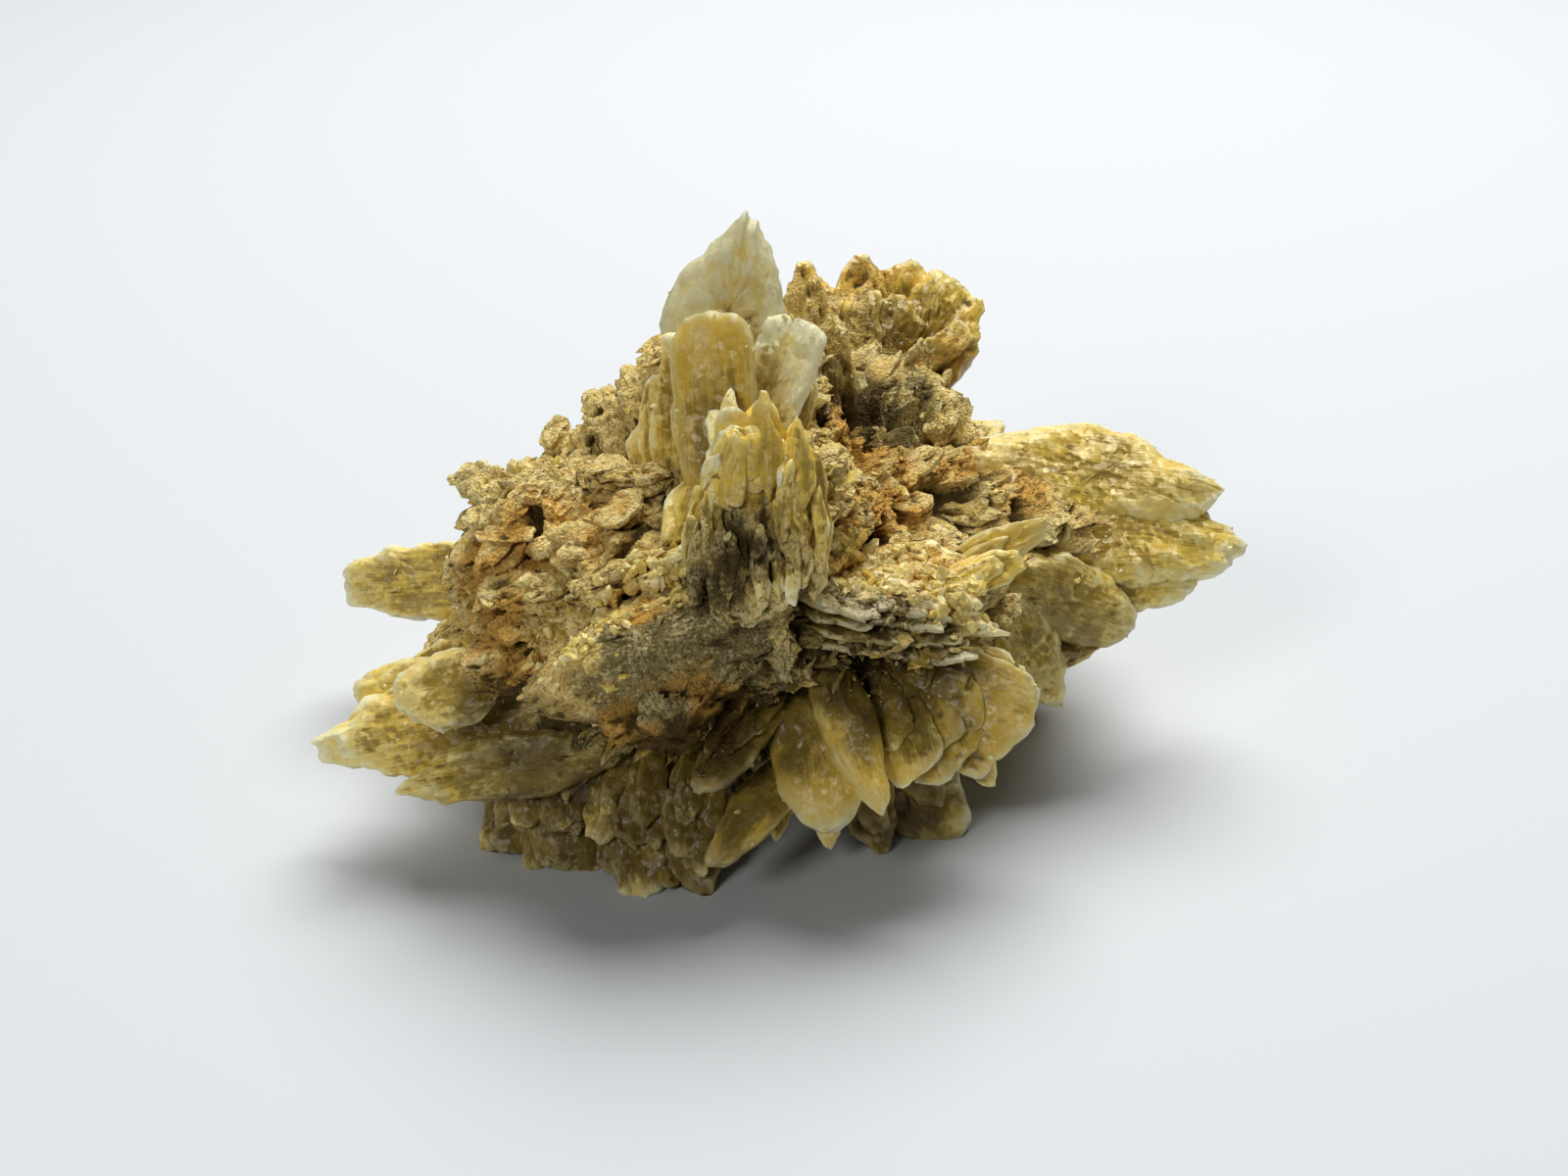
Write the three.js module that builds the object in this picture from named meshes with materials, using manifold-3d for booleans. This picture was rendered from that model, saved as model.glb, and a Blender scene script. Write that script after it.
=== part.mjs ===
// A desert rose: bladed selenite crystals grown together around a lump of sandy matrix.
// It is one grown piece, so every blade, ledge and lump is fused into one solid.
// Millimetres. +X is to the right of the front view, +Y goes to the back, +Z is up, and the floor is z = 0.
import * as THREE from 'three';
import { mergeVertices } from 'three/addons/utils/BufferGeometryUtils.js';
import Module from 'manifold-3d';

const wasm = await Module();
wasm.setup();

// Where the middle of the finished specimen's footprint lies in the coordinates used below
const MIDDLE_X = 0;
const MIDDLE_Y = 1.85;

// Facets of a broad blade: points round its rim, and the place of the ring between rim and crown.
// A blade narrower than this half width has fewer rim points and no ring
const RIM_POINTS = 10;
const RING_AT = 0.58;
const NARROW = 4.3;
const NARROW_RIM_POINTS = 8;
// A blade is full in the middle and thins out to a sharp rim: (1 - r^2) to this power
const RIM_SHARPNESS = 0.8;
// Rims are bitten and uneven by this share of the half width
const RIM_WOBBLE = 0.07;

// Lumps of matrix: facets round and down, and how uneven they are
const LUMP_ROUND = 12;
const LUMP_DOWN = 7;
const LUMP_WOBBLE = 0.09;
const PIT_ROUND = 7;
const PIT_DOWN = 5;

// How deep a foot is drawn below the floor before it is cut off flat
const FLOOR_CUT = 1;
const FLOOR_BLOCK = 200;

// Face-on outlines. Half width at u (-1 at the root, +1 at the tip) is
// width * (1 - |u|^taper)^round * (1 + flare * u)
const LENS = { taper: 1.6, round: 1.0, flare: 0 };
const LEAF = { taper: 1.8, round: 0.7, flare: 0 };
const DISC = { taper: 2.0, round: 0.5, flare: 0 };
const SLAB = { taper: 4.0, round: 0.45, flare: 0 };
const FAN = { taper: 3.0, round: 0.5, flare: 0.35 };

// Directions that the flat of a blade looks in
const FRONT = [0, -9, 4];
const FRONT_STEEP = [0, -9, 3];
const FRONT_LEFT = [-1, -9, 4];
const FRONT_RIGHT = [2, -8, 4];
const UP_FRONT = [0, -5, 9];
const UP_BACK = [0, 4, 8];
const BACK = [0, 9, 3];

// root, tip, half width, thickness, outline, direction of the flat
const blade = (root, tip, width, thickness, outline, face) => ({ root, tip, width, thickness, outline, face });

// A row of like blades: count of them from the first to the last, evenly spaced
function row(count, first, last) {
  const mix = (a, b, t) => a + (b - a) * t;
  const mixPoint = (a, b, t) => a.map((value, i) => mix(value, b[i], t));
  return Array.from({ length: count }, (_, i) => {
    const t = i / (count - 1);
    return blade(
      mixPoint(first.root, last.root, t),
      mixPoint(first.tip, last.tip, t),
      mix(first.width, last.width, t),
      mix(first.thickness, last.thickness, t),
      first.outline,
      mixPoint(first.face, last.face, t),
    );
  });
}

// Summit: the tall pale spire, the round-topped slab in front of it with its stepped side, and the wing
const summit = [
  blade([-8, -6, 41], [-3, 4, 61], 7.8, 6, LENS, FRONT),
  blade([-6, -16.5, 37], [-7, -8.5, 54], 4.3, 5.5, SLAB, FRONT_LEFT),
  ...row(
    3,
    blade([-9.5, -12.5, 36], [-10.5, -5.5, 50.5], 2.9, 4, SLAB, FRONT_LEFT),
    blade([-12, -12.5, 31.5], [-14.5, -4.5, 41.5], 2.2, 3, SLAB, FRONT_LEFT),
  ),
  blade([-4, -10, 40], [2.5, -3, 51.5], 3.6, 3.5, LEAF, FRONT_RIGHT),
  blade([-1, -12.5, 37], [2.5, -3, 47.5], 2.5, 4, LEAF, FRONT_RIGHT),
  blade([-9, -2, 36], [-7, 6, 49], 4.5, 6, DISC, BACK),
];

// Upper right wall behind the summit: rough leaning blades with a squared end
const upperRight = [
  blade([5.5, 15, 31], [1.3, 28.5, 47.5], 2.5, 6, SLAB, FRONT),
  blade([5, 16, 31], [5.3, 29.5, 46], 3, 7, DISC, FRONT),
  blade([8, 16, 30], [9.6, 32, 45.5], 4.7, 8, DISC, FRONT),
  blade([9, 17, 31], [21.5, 30, 43.3], 5.2, 8, SLAB, FRONT_LEFT),
  blade([8, 19, 32], [16.5, 33, 44.5], 4.8, 8, DISC, FRONT),
  blade([6, 3.5, 35], [5, 10.5, 47], 2.6, 5, DISC, [-2, -8, 3]),
  blade([9, 12, 31], [18, 21, 37], 3.3, 7, DISC, FRONT),
  blade([13, 8.5, 28], [17.5, 18, 34.5], 2.7, 8, DISC, FRONT),
];

// Right lobe: a thick stack of pale leaves pointing right, with short blades under it
const rightLobe = [
  blade([18, 4, 32], [48.3, 7, 26.8], 6.8, 6.5, LEAF, [1, -6, 8]),
  blade([18, -2, 27], [50.5, 4.7, 22.7], 7.4, 7, LEAF, [1, -6, 7]),
  blade([20, -5, 23], [46.3, 1.5, 20], 4.1, 5, LEAF, [1, -7, 6]),
  blade([20, 9, 31], [42, 14.5, 28.4], 3.2, 6, LEAF, [0, -6, 8]),
  blade([20, -7, 25], [37.5, -4, 18.1], 4.9, 5, DISC, FRONT_STEEP),
  blade([22, -8, 15], [35, -3.5, 14.6], 2, 3, LENS, FRONT),
  blade([22, -7, 24], [28.5, -8, 10.5], 3.8, 5, DISC, FRONT_STEEP),
  blade([12, -15, 25], [27.2, -11.7, 34.2], 2.4, 3, LEAF, [2, -7, 6]),
  blade([14, -20, 29.5], [23.8, -17.4, 31.8], 2.2, 3, DISC, [1, -7, 6]),
  blade([22, 11, 28], [32, 18, 31], 1.5, 3, LENS, FRONT),
];

// Ledges on the front right: thin plates lying on each other with gaps between them
const ledges = [
  blade([2, -14, 31], [20.2, -18.5, 30], 3.2, 4, LEAF, [-1, -5, 9]),
  blade([2, -17, 31], [22.5, -25.5, 29], 3.8, 3, LEAF, [-1, -5, 9]),
  blade([1, -18, 26], [23, -26.8, 26.5], 3.3, 2.5, LEAF, UP_FRONT),
  ...row(
    3,
    blade([-1, -18.5, 28], [18.5, -26, 27.8], 2.8, 1.8, LEAF, UP_FRONT),
    blade([-4, -20, 31.5], [9.2, -26.7, 31.2], 1.9, 1.6, LEAF, UP_FRONT),
  ),
];

// Fan and petals at the front, below the cavity
const petals = [
  blade([7, -18, 20], [24.8, -27, 17], 5.6, 3.4, FAN, [1, -8, 3]),
  blade([8, -15, 21.5], [25.4, -23, 20.6], 3, 3, LEAF, [1, -7, 5]),
  blade([9, -18, 22], [12, -31, 13.8], 4, 3.2, FAN, FRONT_STEEP),
  blade([10, -18, 21], [17.5, -28.5, 14], 4.5, 3.2, FAN, [1, -8, 3]),
  blade([15, -18, 16], [21, -24, 9.8], 2, 2.5, DISC, FRONT),
  blade([1.5, -17, 22], [4.7, -33, 10.3], 5.1, 4.2, DISC, [-2, -8, 3]),
  blade([2.5, -19, 24], [9.3, -34.8, 13], 3, 4.6, LEAF, [3, -8, 2]),
  blade([5, -19, 14], [4.4, -25.3, 3], 2, 3, LEAF, FRONT),
  blade([2, -17, 21], [-9.2, -33.4, 13.6], 2.9, 4.5, LEAF, [-2, -8, 5]),
  blade([3, -20, 12.5], [-7.6, -34.6, 6.9], 2.8, 3.5, LEAF, [-1, -8, 4]),
  blade([1, -20, 13], [-0.8, -28.3, 6], 1.8, 2.5, LEAF, FRONT),
];

// Low petals that the specimen rests on, front and back. Their tips are cut off flat at the floor
const feet = [
  blade([-21, -15, 12], [-31.5, -21, -FLOOR_CUT], 3.9, 4.5, DISC, FRONT),
  blade([-20, -16, 11], [-26.5, -24, -FLOOR_CUT], 3.2, 4.5, DISC, FRONT),
  blade([-20, -15, 13], [-22.2, -25.2, -FLOOR_CUT], 5.8, 5, DISC, FRONT_STEEP),
  blade([-13.5, -17, 13], [-14.7, -28.2, -FLOOR_CUT], 4.6, 5, DISC, FRONT_LEFT),
  blade([-9, -18, 13], [-8.4, -29, -FLOOR_CUT], 4.1, 5, DISC, [1, -9, 3]),
  blade([7, -12, 13], [18, -18.5, -FLOOR_CUT], 5, 6, DISC, FRONT),
  blade([6, -14, 13], [10.2, -21, -FLOOR_CUT], 3.2, 5, DISC, FRONT),
  blade([19, 2, 13], [28, 12, -FLOOR_CUT], 6, 6, DISC, [4, 6, 5]),
  blade([5, 12, 13], [14, 25, -FLOOR_CUT], 7, 6, DISC, [1, 7, 5]),
  blade([-12, 8, 13], [-23, 21, -FLOOR_CUT], 6.5, 6, DISC, [-3, 6, 5]),
];

// Left front lobe: honey plates reaching out low, over a dark hollow
const leftFront = [
  blade([-23, -18, 15.5], [-47.5, -19, 11], 5.8, 5, LEAF, [-1, -7, 6]),
  blade([-27, -15, 16], [-45.2, -14.5, 15], 3.4, 4, DISC, [-2, -7, 6]),
  blade([-22, -20, 21], [-38.5, -22.3, 17.9], 4.4, 4.5, DISC, [-4, -7, 6]),
  blade([-15, -21, 13], [-39.5, -24.2, 9.5], 3.8, 3.8, LEAF, FRONT_STEEP),
  blade([-27, -9, 19], [-41.6, -7, 12.8], 2, 4, DISC, FRONT),
];

// Left back lobe: a squared honey slab and a plate under it
const leftBack = [
  blade([-24, 7, 17], [-50.5, 13.5, 13.2], 4.6, 7.5, SLAB, [0, -8, 5]),
  blade([-25, 5, 17], [-40.2, 1, 10.6], 3.4, 6, DISC, FRONT),
];

// Rough ledges and knobs down the left slope
const leftSlope = [
  blade([-20, -12, 30], [-33, -2.5, 34.8], 2.6, 5, SLAB, [-2, -4, 9]),
  blade([-19, -14, 28], [-32.4, -11.5, 30], 3.1, 6, DISC, FRONT),
  blade([-13, -21, 31], [-30.6, -19, 28.7], 2.4, 3, SLAB, [-1, -6, 9]),
  blade([-5, -21, 35], [-22.4, -25.5, 31.3], 2.1, 3, LEAF, [-2, -6, 8]),
  blade([-15, -20, 26.5], [-30.5, -21, 24.8], 3.4, 6, DISC, FRONT),
  blade([-16, -22, 24], [-32.2, -22.8, 21.2], 2.9, 6, DISC, FRONT),
  blade([-20, -7, 28], [-29, 3.7, 33.5], 3.6, 7, DISC, FRONT),
  blade([-19, -7, 28], [-25, 10, 33], 3.7, 7, DISC, FRONT),
  blade([-15, -6, 31], [-22.5, 7.4, 35.5], 3.6, 7, DISC, FRONT),
  ...row(
    3,
    blade([-14, -6, 34], [-20, 10.5, 38.5], 3.8, 8, DISC, FRONT),
    blade([-9, -6, 40], [-13.8, 5.5, 46], 2.8, 7, DISC, FRONT),
  ),
  blade([-9, -12.5, 38], [-20.6, -10.3, 36.9], 1.8, 3, DISC, [-1, -6, 9]),
];

// Snout and central fin: a sand-smooth nose below, and a comb of upright blades above it
const front = [
  blade([1, -24, 30], [-25.3, -28.9, 22.4], 5.8, 12, LEAF, [0, -7, 6]),
  blade([-4, -23, 26], [-17.6, -31, 17.9], 5.1, 11, DISC, FRONT_STEEP),
  blade([-4.7, -28, 29.5], [-3.7, -16.5, 48.7], 4.6, 7, LEAF, FRONT_STEEP),
  ...row(
    5,
    blade([-7.5, -28, 27], [-9.5, -20.5, 43], 2, 3.5, LENS, [-2, -9, 3]),
    blade([3, -26, 31], [3, -19, 45], 2, 3.5, LENS, [2, -9, 3]),
  ),
  blade([-0.7, -27, 34], [-1.6, -19, 50], 2.7, 4.5, LENS, FRONT),
  blade([1.4, -27, 32], [1.1, -19.5, 47.3], 2.3, 4.5, LEAF, [1, -9, 4]),
  blade([-7, -14, 40], [-11.4, -22.5, 35.5], 2.1, 3, LEAF, FRONT_LEFT),
  ...row(
    4,
    blade([-12, -24, 22], [-18, -30, 15.5], 1.4, 2.2, LENS, FRONT),
    blade([-3, -23, 22], [-8, -31, 16.5], 1.4, 2.2, LENS, FRONT),
  ),
];

// Back, turned away from the front view: broad leaves standing out of the lump like an open flower
const back = [
  blade([-10, 11, 19], [-31, 31, 14], 9, 7, DISC, [-3, 3, 8]),
  blade([-7, 14, 25], [-23, 35, 22], 8, 6, LEAF, [-2, 4, 8]),
  blade([-1, 15, 27], [-4, 38.5, 27], 9, 6, DISC, UP_BACK),
  blade([5, 14, 22], [15, 38, 17], 8, 6, LEAF, [1, 4, 8]),
  blade([9, 13, 26], [28, 34, 22], 8.5, 7, DISC, [2, 4, 8]),
  blade([15, 8, 21], [38, 26, 16], 8, 6, LEAF, [3, 3, 8]),
  blade([-3, 14, 16], [-8, 36, 9], 8, 5, DISC, [-1, 5, 8]),
  blade([-15, 6, 14], [-38, 20, 7], 6, 5, LEAF, [-3, 3, 8]),
  blade([8, 12, 14], [24, 31, 8], 7, 5, LEAF, [2, 5, 7]),
  blade([17, 3, 17], [36, 13, 11], 5, 5, DISC, [3, 2, 8]),
  blade([-6, 9, 32], [-14, 26, 33], 6, 6, DISC, [-2, 6, 6]),
  blade([3, 12, 33], [6, 29, 38], 6, 6, DISC, [0, 8, 5]),
];

// Underside: short leaves pointing down and out, clear of the floor
const underside = [
  blade([-8, -4, 12], [-19, -6, 3], 6, 5, LEAF, [4, 1, -8]),
  blade([0, -6, 12], [-3, -17, 3], 5, 5, DISC, [1, 4, -8]),
  blade([8, 0, 12], [20, -4, 3.5], 6, 5, LEAF, [-4, 1, -8]),
  blade([2, 6, 12], [3, 17, 3], 6, 5, DISC, [0, -5, -8]),
];

// Lumps of sandy matrix that hold the blades: middle and half axes
const lump = (middle, axes) => ({ middle, axes });
const matrix = [
  lump([0, 0, 21], [25, 19, 15]),
  lump([-18, -8, 24], [15, 14, 11]),
  lump([-24.5, -9, 30], [7, 8, 6]),
  lump([-4, 1, 35], [10, 11, 12]),
  lump([-2, -12, 32], [10, 9, 12]),
  lump([20, 3, 24], [14, 11, 9]),
  lump([10, 16, 30], [11, 10, 9]),
  lump([-9, -19, 25], [14, 9, 7]),
  lump([2, -12, 16], [20, 11, 8]),
  lump([-24, 4, 17], [12, 9, 7]),
  lump([0, 12, 20], [20, 13, 11]),
  lump([-22, -16, 13], [9, 7, 5]),
  lump([9, -11, 26], [11, 8, 6]),
  lump([-13, -17, 31], [10, 7, 5]),
];

// Pits in the matrix: the dark holes of the left slope, and the hollow under the front ledges
const pits = [
  lump([-19, -22, 33.5], [2.2, 2.5, 1.6]),
  lump([-29, -16, 28.5], [2.4, 2.5, 1.5]),
  lump([-24, -22, 27.5], [2.4, 2.6, 1.3]),
  lump([7, -22, 23.8], [8, 6, 1.8]),
];

// Wavy unevenness of a rim or a lump, from a direction round it and a phase of its own
const wave = (angle, phase) => 0.6 * Math.sin(3 * angle + phase) + 0.4 * Math.sin(5 * angle + 2.3 * phase);

const vector = (values) => new THREE.Vector3(...values);

function closedGeometry(positions, triangles) {
  const geometry = new THREE.BufferGeometry();
  geometry.setAttribute('position', new THREE.Float32BufferAttribute(positions, 3));
  geometry.setIndex(triangles);
  return geometry;
}

// One blade as a lens with a sharp rim: rim points, a ring and a crown point on either face
function bladeGeometry({ root, tip, width, thickness, outline, face }, phase) {
  const start = vector(root);
  const along = vector(tip).sub(start);
  const reach = along.length() / 2;
  along.normalize();
  const normal = vector(face);
  normal.addScaledVector(along, -normal.dot(along)).normalize();
  const side = new THREE.Vector3().crossVectors(normal, along);
  const middle = start.addScaledVector(along, reach);

  const positions = [];
  const put = (u, v, height) => {
    const point = middle.clone().addScaledVector(along, u * reach);
    point.addScaledVector(side, v * width).addScaledVector(normal, height);
    positions.push(point.x, point.y, point.z);
  };
  const narrow = width < NARROW;
  const count = narrow ? NARROW_RIM_POINTS : RIM_POINTS;
  const rimPoint = (i) => {
    const angle = (2 * Math.PI * i) / count;
    const u = Math.cos(angle);
    const half = (1 - Math.abs(u) ** outline.taper) ** outline.round * (1 + outline.flare * u);
    return [u, Math.sign(Math.sin(angle)) * half * (1 + RIM_WOBBLE * wave(angle, phase))];
  };
  const ringHeight = (thickness / 2) * (1 - RING_AT ** 2) ** RIM_SHARPNESS;
  const triangles = [];
  for (let i = 0; i < count; i += 1) put(...rimPoint(i), 0);
  for (const sign of [1, -1]) {
    const add = (a, b, c) => triangles.push(...(sign > 0 ? [a, b, c] : [a, c, b]));
    const ring = narrow ? 0 : positions.length / 3;
    if (!narrow) {
      for (let i = 0; i < count; i += 1) {
        const [u, v] = rimPoint(i);
        put(u * RING_AT, v * RING_AT, sign * ringHeight);
      }
    }
    const crown = positions.length / 3;
    put(0, 0, (sign * thickness) / 2);
    for (let i = 0; i < count; i += 1) {
      const next = (i + 1) % count;
      add(ring + i, ring + next, crown);
      if (!narrow) {
        add(i, ring + next, ring + i);
        add(i, next, ring + next);
      }
    }
  }
  return closedGeometry(positions, triangles);
}

// One lump of matrix: an uneven ellipsoid
function lumpGeometry({ middle, axes }, phase, round, down) {
  const geometry = new THREE.SphereGeometry(1, round, down);
  geometry.rotateX(Math.PI / 2);
  geometry.deleteAttribute('normal');
  geometry.deleteAttribute('uv');
  const ball = mergeVertices(geometry);
  const position = ball.getAttribute('position');
  for (let i = 0; i < position.count; i += 1) {
    const point = new THREE.Vector3().fromBufferAttribute(position, i);
    const uneven = 1 + LUMP_WOBBLE * (wave(2 * point.x + point.z, phase) + wave(2 * point.y - point.z, phase + 1));
    point.multiplyScalar(uneven).multiply(vector(axes)).add(vector(middle));
    position.setXYZ(i, point.x, point.y, point.z);
  }
  return ball;
}

function toSolid(geometry) {
  const vertProperties = Float32Array.from(geometry.getAttribute('position').array);
  const triVerts = Uint32Array.from(geometry.index.array);
  return new wasm.Manifold(new wasm.Mesh({ numProp: 3, vertProperties, triVerts }));
}

function toGeometry(solid) {
  const mesh = solid.getMesh();
  return closedGeometry(mesh.vertProperties, Array.from(mesh.triVerts));
}

// Everything below the floor, to be cut away
function belowFloor() {
  const geometry = new THREE.BoxGeometry(FLOOR_BLOCK, FLOOR_BLOCK, FLOOR_BLOCK);
  geometry.translate(0, 0, -FLOOR_BLOCK / 2);
  geometry.deleteAttribute('normal');
  geometry.deleteAttribute('uv');
  return toSolid(mergeVertices(geometry));
}

const blades = [
  ...summit, ...upperRight, ...rightLobe, ...ledges, ...petals, ...feet,
  ...leftFront, ...leftBack, ...leftSlope, ...front, ...back, ...underside,
];
const join = (solids) => solids.reduce((sum, solid) => sum.add(solid));
const core = join(matrix.map((piece, i) => toSolid(lumpGeometry(piece, i, LUMP_ROUND, LUMP_DOWN))));
const holes = join(pits.map((piece, i) => toSolid(lumpGeometry(piece, i, PIT_ROUND, PIT_DOWN))));
const leaves = join(blades.map((piece, i) => toSolid(bladeGeometry(piece, i))));
const grown = core.add(leaves).subtract(holes).subtract(belowFloor());

const geometry = toGeometry(grown);
geometry.translate(-MIDDLE_X, -MIDDLE_Y, 0);

const selenite = new THREE.MeshStandardMaterial({ color: 0xb9a272, roughness: 0.5, metalness: 0 });
const rose = new THREE.Mesh(geometry, selenite);
rose.name = 'desert_rose';

const specimen = new THREE.Group();
specimen.add(rose);

export default specimen;
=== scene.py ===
# A desert rose: frosted selenite blades grown together round a lump of rusty, sandy matrix.
# Sizes in the lists below are millimetres in the specimen's own coordinates, as its construction has them.
import math
from collections import namedtuple
from functools import lru_cache

import bpy
import numpy as np
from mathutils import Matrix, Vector


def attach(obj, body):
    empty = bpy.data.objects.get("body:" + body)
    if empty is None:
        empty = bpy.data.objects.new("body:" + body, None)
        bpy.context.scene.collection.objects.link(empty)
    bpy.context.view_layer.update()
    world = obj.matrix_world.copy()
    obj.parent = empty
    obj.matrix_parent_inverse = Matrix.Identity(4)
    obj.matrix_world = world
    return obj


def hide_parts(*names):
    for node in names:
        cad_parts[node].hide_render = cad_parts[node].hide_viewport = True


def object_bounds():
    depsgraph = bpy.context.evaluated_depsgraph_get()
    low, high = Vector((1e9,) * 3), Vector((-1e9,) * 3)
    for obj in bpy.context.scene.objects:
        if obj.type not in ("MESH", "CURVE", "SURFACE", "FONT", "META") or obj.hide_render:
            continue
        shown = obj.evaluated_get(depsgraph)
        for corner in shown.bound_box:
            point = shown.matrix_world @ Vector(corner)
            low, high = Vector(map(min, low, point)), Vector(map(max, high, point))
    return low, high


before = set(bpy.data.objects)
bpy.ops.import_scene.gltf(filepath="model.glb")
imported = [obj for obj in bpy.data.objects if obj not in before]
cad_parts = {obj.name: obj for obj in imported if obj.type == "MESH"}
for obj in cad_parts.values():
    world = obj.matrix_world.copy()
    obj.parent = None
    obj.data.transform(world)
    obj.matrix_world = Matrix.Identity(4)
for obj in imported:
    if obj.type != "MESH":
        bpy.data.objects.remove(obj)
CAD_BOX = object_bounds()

bl_info = {
    "name": "Desert Rose Selenite",
    "version": (1, 0, 0),
    "blender": (4, 5, 0),
    "location": "3D View > Sidebar > Desert Rose",
    "description": "Grows the blades, matrix and crumbs of a desert rose round its solid",
    "category": "Add Mesh",
}

NODE = "desert_rose"
BODY = "root"
MM = 0.001

# Where the middle of the footprint lies in the specimen's own coordinates
MIDDLE = np.array([0.0, 1.85, 0.0])

# A blade is full in the middle and thins out to its rim: half thickness is (1 - r^2) to this power
RIM_SHARPNESS = 0.8

# Face-on outlines: half width at u is (1 - |u|^taper)^round * (1 + flare * u)
Outline = namedtuple("Outline", "taper round flare")
LENS = Outline(1.6, 1.0, 0.0)
LEAF = Outline(1.8, 0.7, 0.0)
DISC = Outline(2.0, 0.5, 0.0)
SLAB = Outline(4.0, 0.45, 0.0)
FAN = Outline(3.0, 0.5, 0.35)
SPIRE = Outline(1.35, 1.0, -0.22)
BLOCK = Outline(8.0, 0.5, 0.12)

# How a blade has grown. plates: thin crystals that it is a sheaf of. fill: how much of the sheaf they take
# up, past 1 where they overlap. ragged: share of the rims broken away. laths, knobs, grit: relief in mm of
# its long laths, its rounded lumps and its small broken faces. cover: share under sand. frost: share that is
# milky. clear: whether light goes through it
Growth = namedtuple("Growth", "plates fill ragged laths knobs grit cover frost clear")
ICE = Growth(2, 1.50, 0.06, 0.06, 0.30, 0.12, 0.00, 0.70, True)
MILKY = Growth(2, 1.50, 0.04, 0.04, 0.20, 0.10, 0.00, 0.80, False)
HONEY = Growth(2, 1.50, 0.03, 0.03, 0.12, 0.06, 0.00, -0.05, True)
CLEAR = Growth(3, 1.40, 0.05, 0.06, 0.24, 0.10, 0.00, 0.12, True)
PETAL = Growth(3, 1.40, 0.07, 0.06, 0.40, 0.14, 0.02, 0.14, False)
LOBE = Growth(2, 1.50, 0.07, 0.03, 0.40, 0.12, 0.00, 0.18, False)
PAGES = Growth(4, 0.80, 0.12, 0.04, 0.22, 0.18, 0.16, 0.22, False)
STACK = Growth(4, 1.40, 0.08, 0.10, 0.45, 0.20, 0.10, 0.26, False)
LEDGE = Growth(1, 1.00, 0.30, 0.03, 0.12, 0.20, 0.34, 0.50, False)
RIBS = Growth(3, 1.40, 0.10, 0.12, 0.36, 0.26, 0.44, -0.20, False)
RECESS = Growth(2, 1.50, 0.05, 0.40, 0.25, 0.22, 0.38, 0.05, False)
STRIP = Growth(2, 1.50, 0.08, 0.14, 0.30, 0.25, 0.40, 0.40, False)
KNOB = Growth(3, 1.40, 0.10, 0.10, 0.70, 0.35, 0.68, 0.20, False)
CRUST = Growth(3, 1.40, 0.12, 0.10, 0.65, 0.35, 0.95, 0.30, False)
NOSE = Growth(1, 1.00, 0.03, 0.00, 0.25, 0.25, 1.25, 0.00, False)
SLAB_LEDGE = Growth(1, 1.00, 0.26, 0.06, 0.22, 0.22, 0.85, 0.35, False)

# Directions that the flat of a blade looks in
FRONT = (0, -9, 4)
FRONT_STEEP = (0, -9, 3)
FRONT_LEFT = (-1, -9, 4)
FRONT_RIGHT = (2, -8, 4)
UP_BACK = (0, 4, 8)
BACK = (0, 9, 3)

# root and tip are the ends of a blade's middle line, width is half of its breadth, thickness is the whole
# sheaf's, and face is the way that its flat looks
Blade = namedtuple("Blade", "root tip width thickness outline face growth")


def row(count, first, last):
    """A row of like blades, evenly spaced from the first to the last."""
    steps = [i / (count - 1) for i in range(count)]

    def mix(a, b, t):
        return tuple((1 - t) * np.array(a) + t * np.array(b))

    return [
        Blade(
            mix(first.root, last.root, t),
            mix(first.tip, last.tip, t),
            (1 - t) * first.width + t * last.width,
            (1 - t) * first.thickness + t * last.thickness,
            first.outline,
            mix(first.face, last.face, t),
            first.growth,
        )
        for t in steps
    ]


# Summit: the tall pale spire, the round-topped slab in front of it with its stepped side, and the wing
SUMMIT = [
    Blade((-8, -6, 41), (-3, 4, 61), 7.3, 6, SPIRE, FRONT, ICE),
    Blade((-6, -16.5, 37), (-7, -8.5, 54), 3.9, 5.5, BLOCK, FRONT_LEFT, HONEY),
    *row(
        3,
        Blade((-9.5, -12.5, 36), (-10.5, -5.5, 50.5), 2.9, 4, SLAB, FRONT_LEFT, STACK),
        Blade((-12, -12.5, 31.5), (-14.5, -4.5, 41.5), 2.2, 3, SLAB, FRONT_LEFT, STACK),
    ),
    Blade((-3.6, -11, 40), (1.6, -4, 51.6), 3.5, 3.2, BLOCK, (1, -7, 6), MILKY),
    Blade((-1, -12.5, 37), (2.5, -3, 47.5), 2.5, 4, LEAF, FRONT_RIGHT, PETAL),
    Blade((-9, -2, 36), (-7, 6, 49), 4.5, 6, DISC, BACK, PETAL),
]

# Upper right wall behind the summit: rough leaning blades with a squared end
UPPER_RIGHT = [
    Blade((5.5, 15, 31), (1.3, 28.5, 47.5), 2.5, 6, SLAB, FRONT, RIBS),
    Blade((5, 16, 31), (5.3, 29.5, 46), 3, 7, DISC, FRONT, RIBS),
    Blade((8, 16, 30), (9.6, 32, 45.5), 4.9, 8, SLAB, FRONT, RIBS),
    Blade((9, 17, 31), (21.5, 30, 43.3), 5.2, 8, BLOCK, FRONT_LEFT, RIBS),
    Blade((8, 19, 32), (16, 33, 44.7), 5.2, 8, BLOCK, FRONT, RIBS),
    Blade((6, 3.5, 35), (5, 10.5, 47), 2.6, 5, DISC, (-2, -8, 3), RIBS),
    Blade((9, 12, 31), (18, 21, 37), 3.3, 7, DISC, FRONT, RIBS),
    Blade((13, 8.5, 28), (17.5, 18, 34.5), 2.7, 8, DISC, FRONT, RIBS),
]

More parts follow.
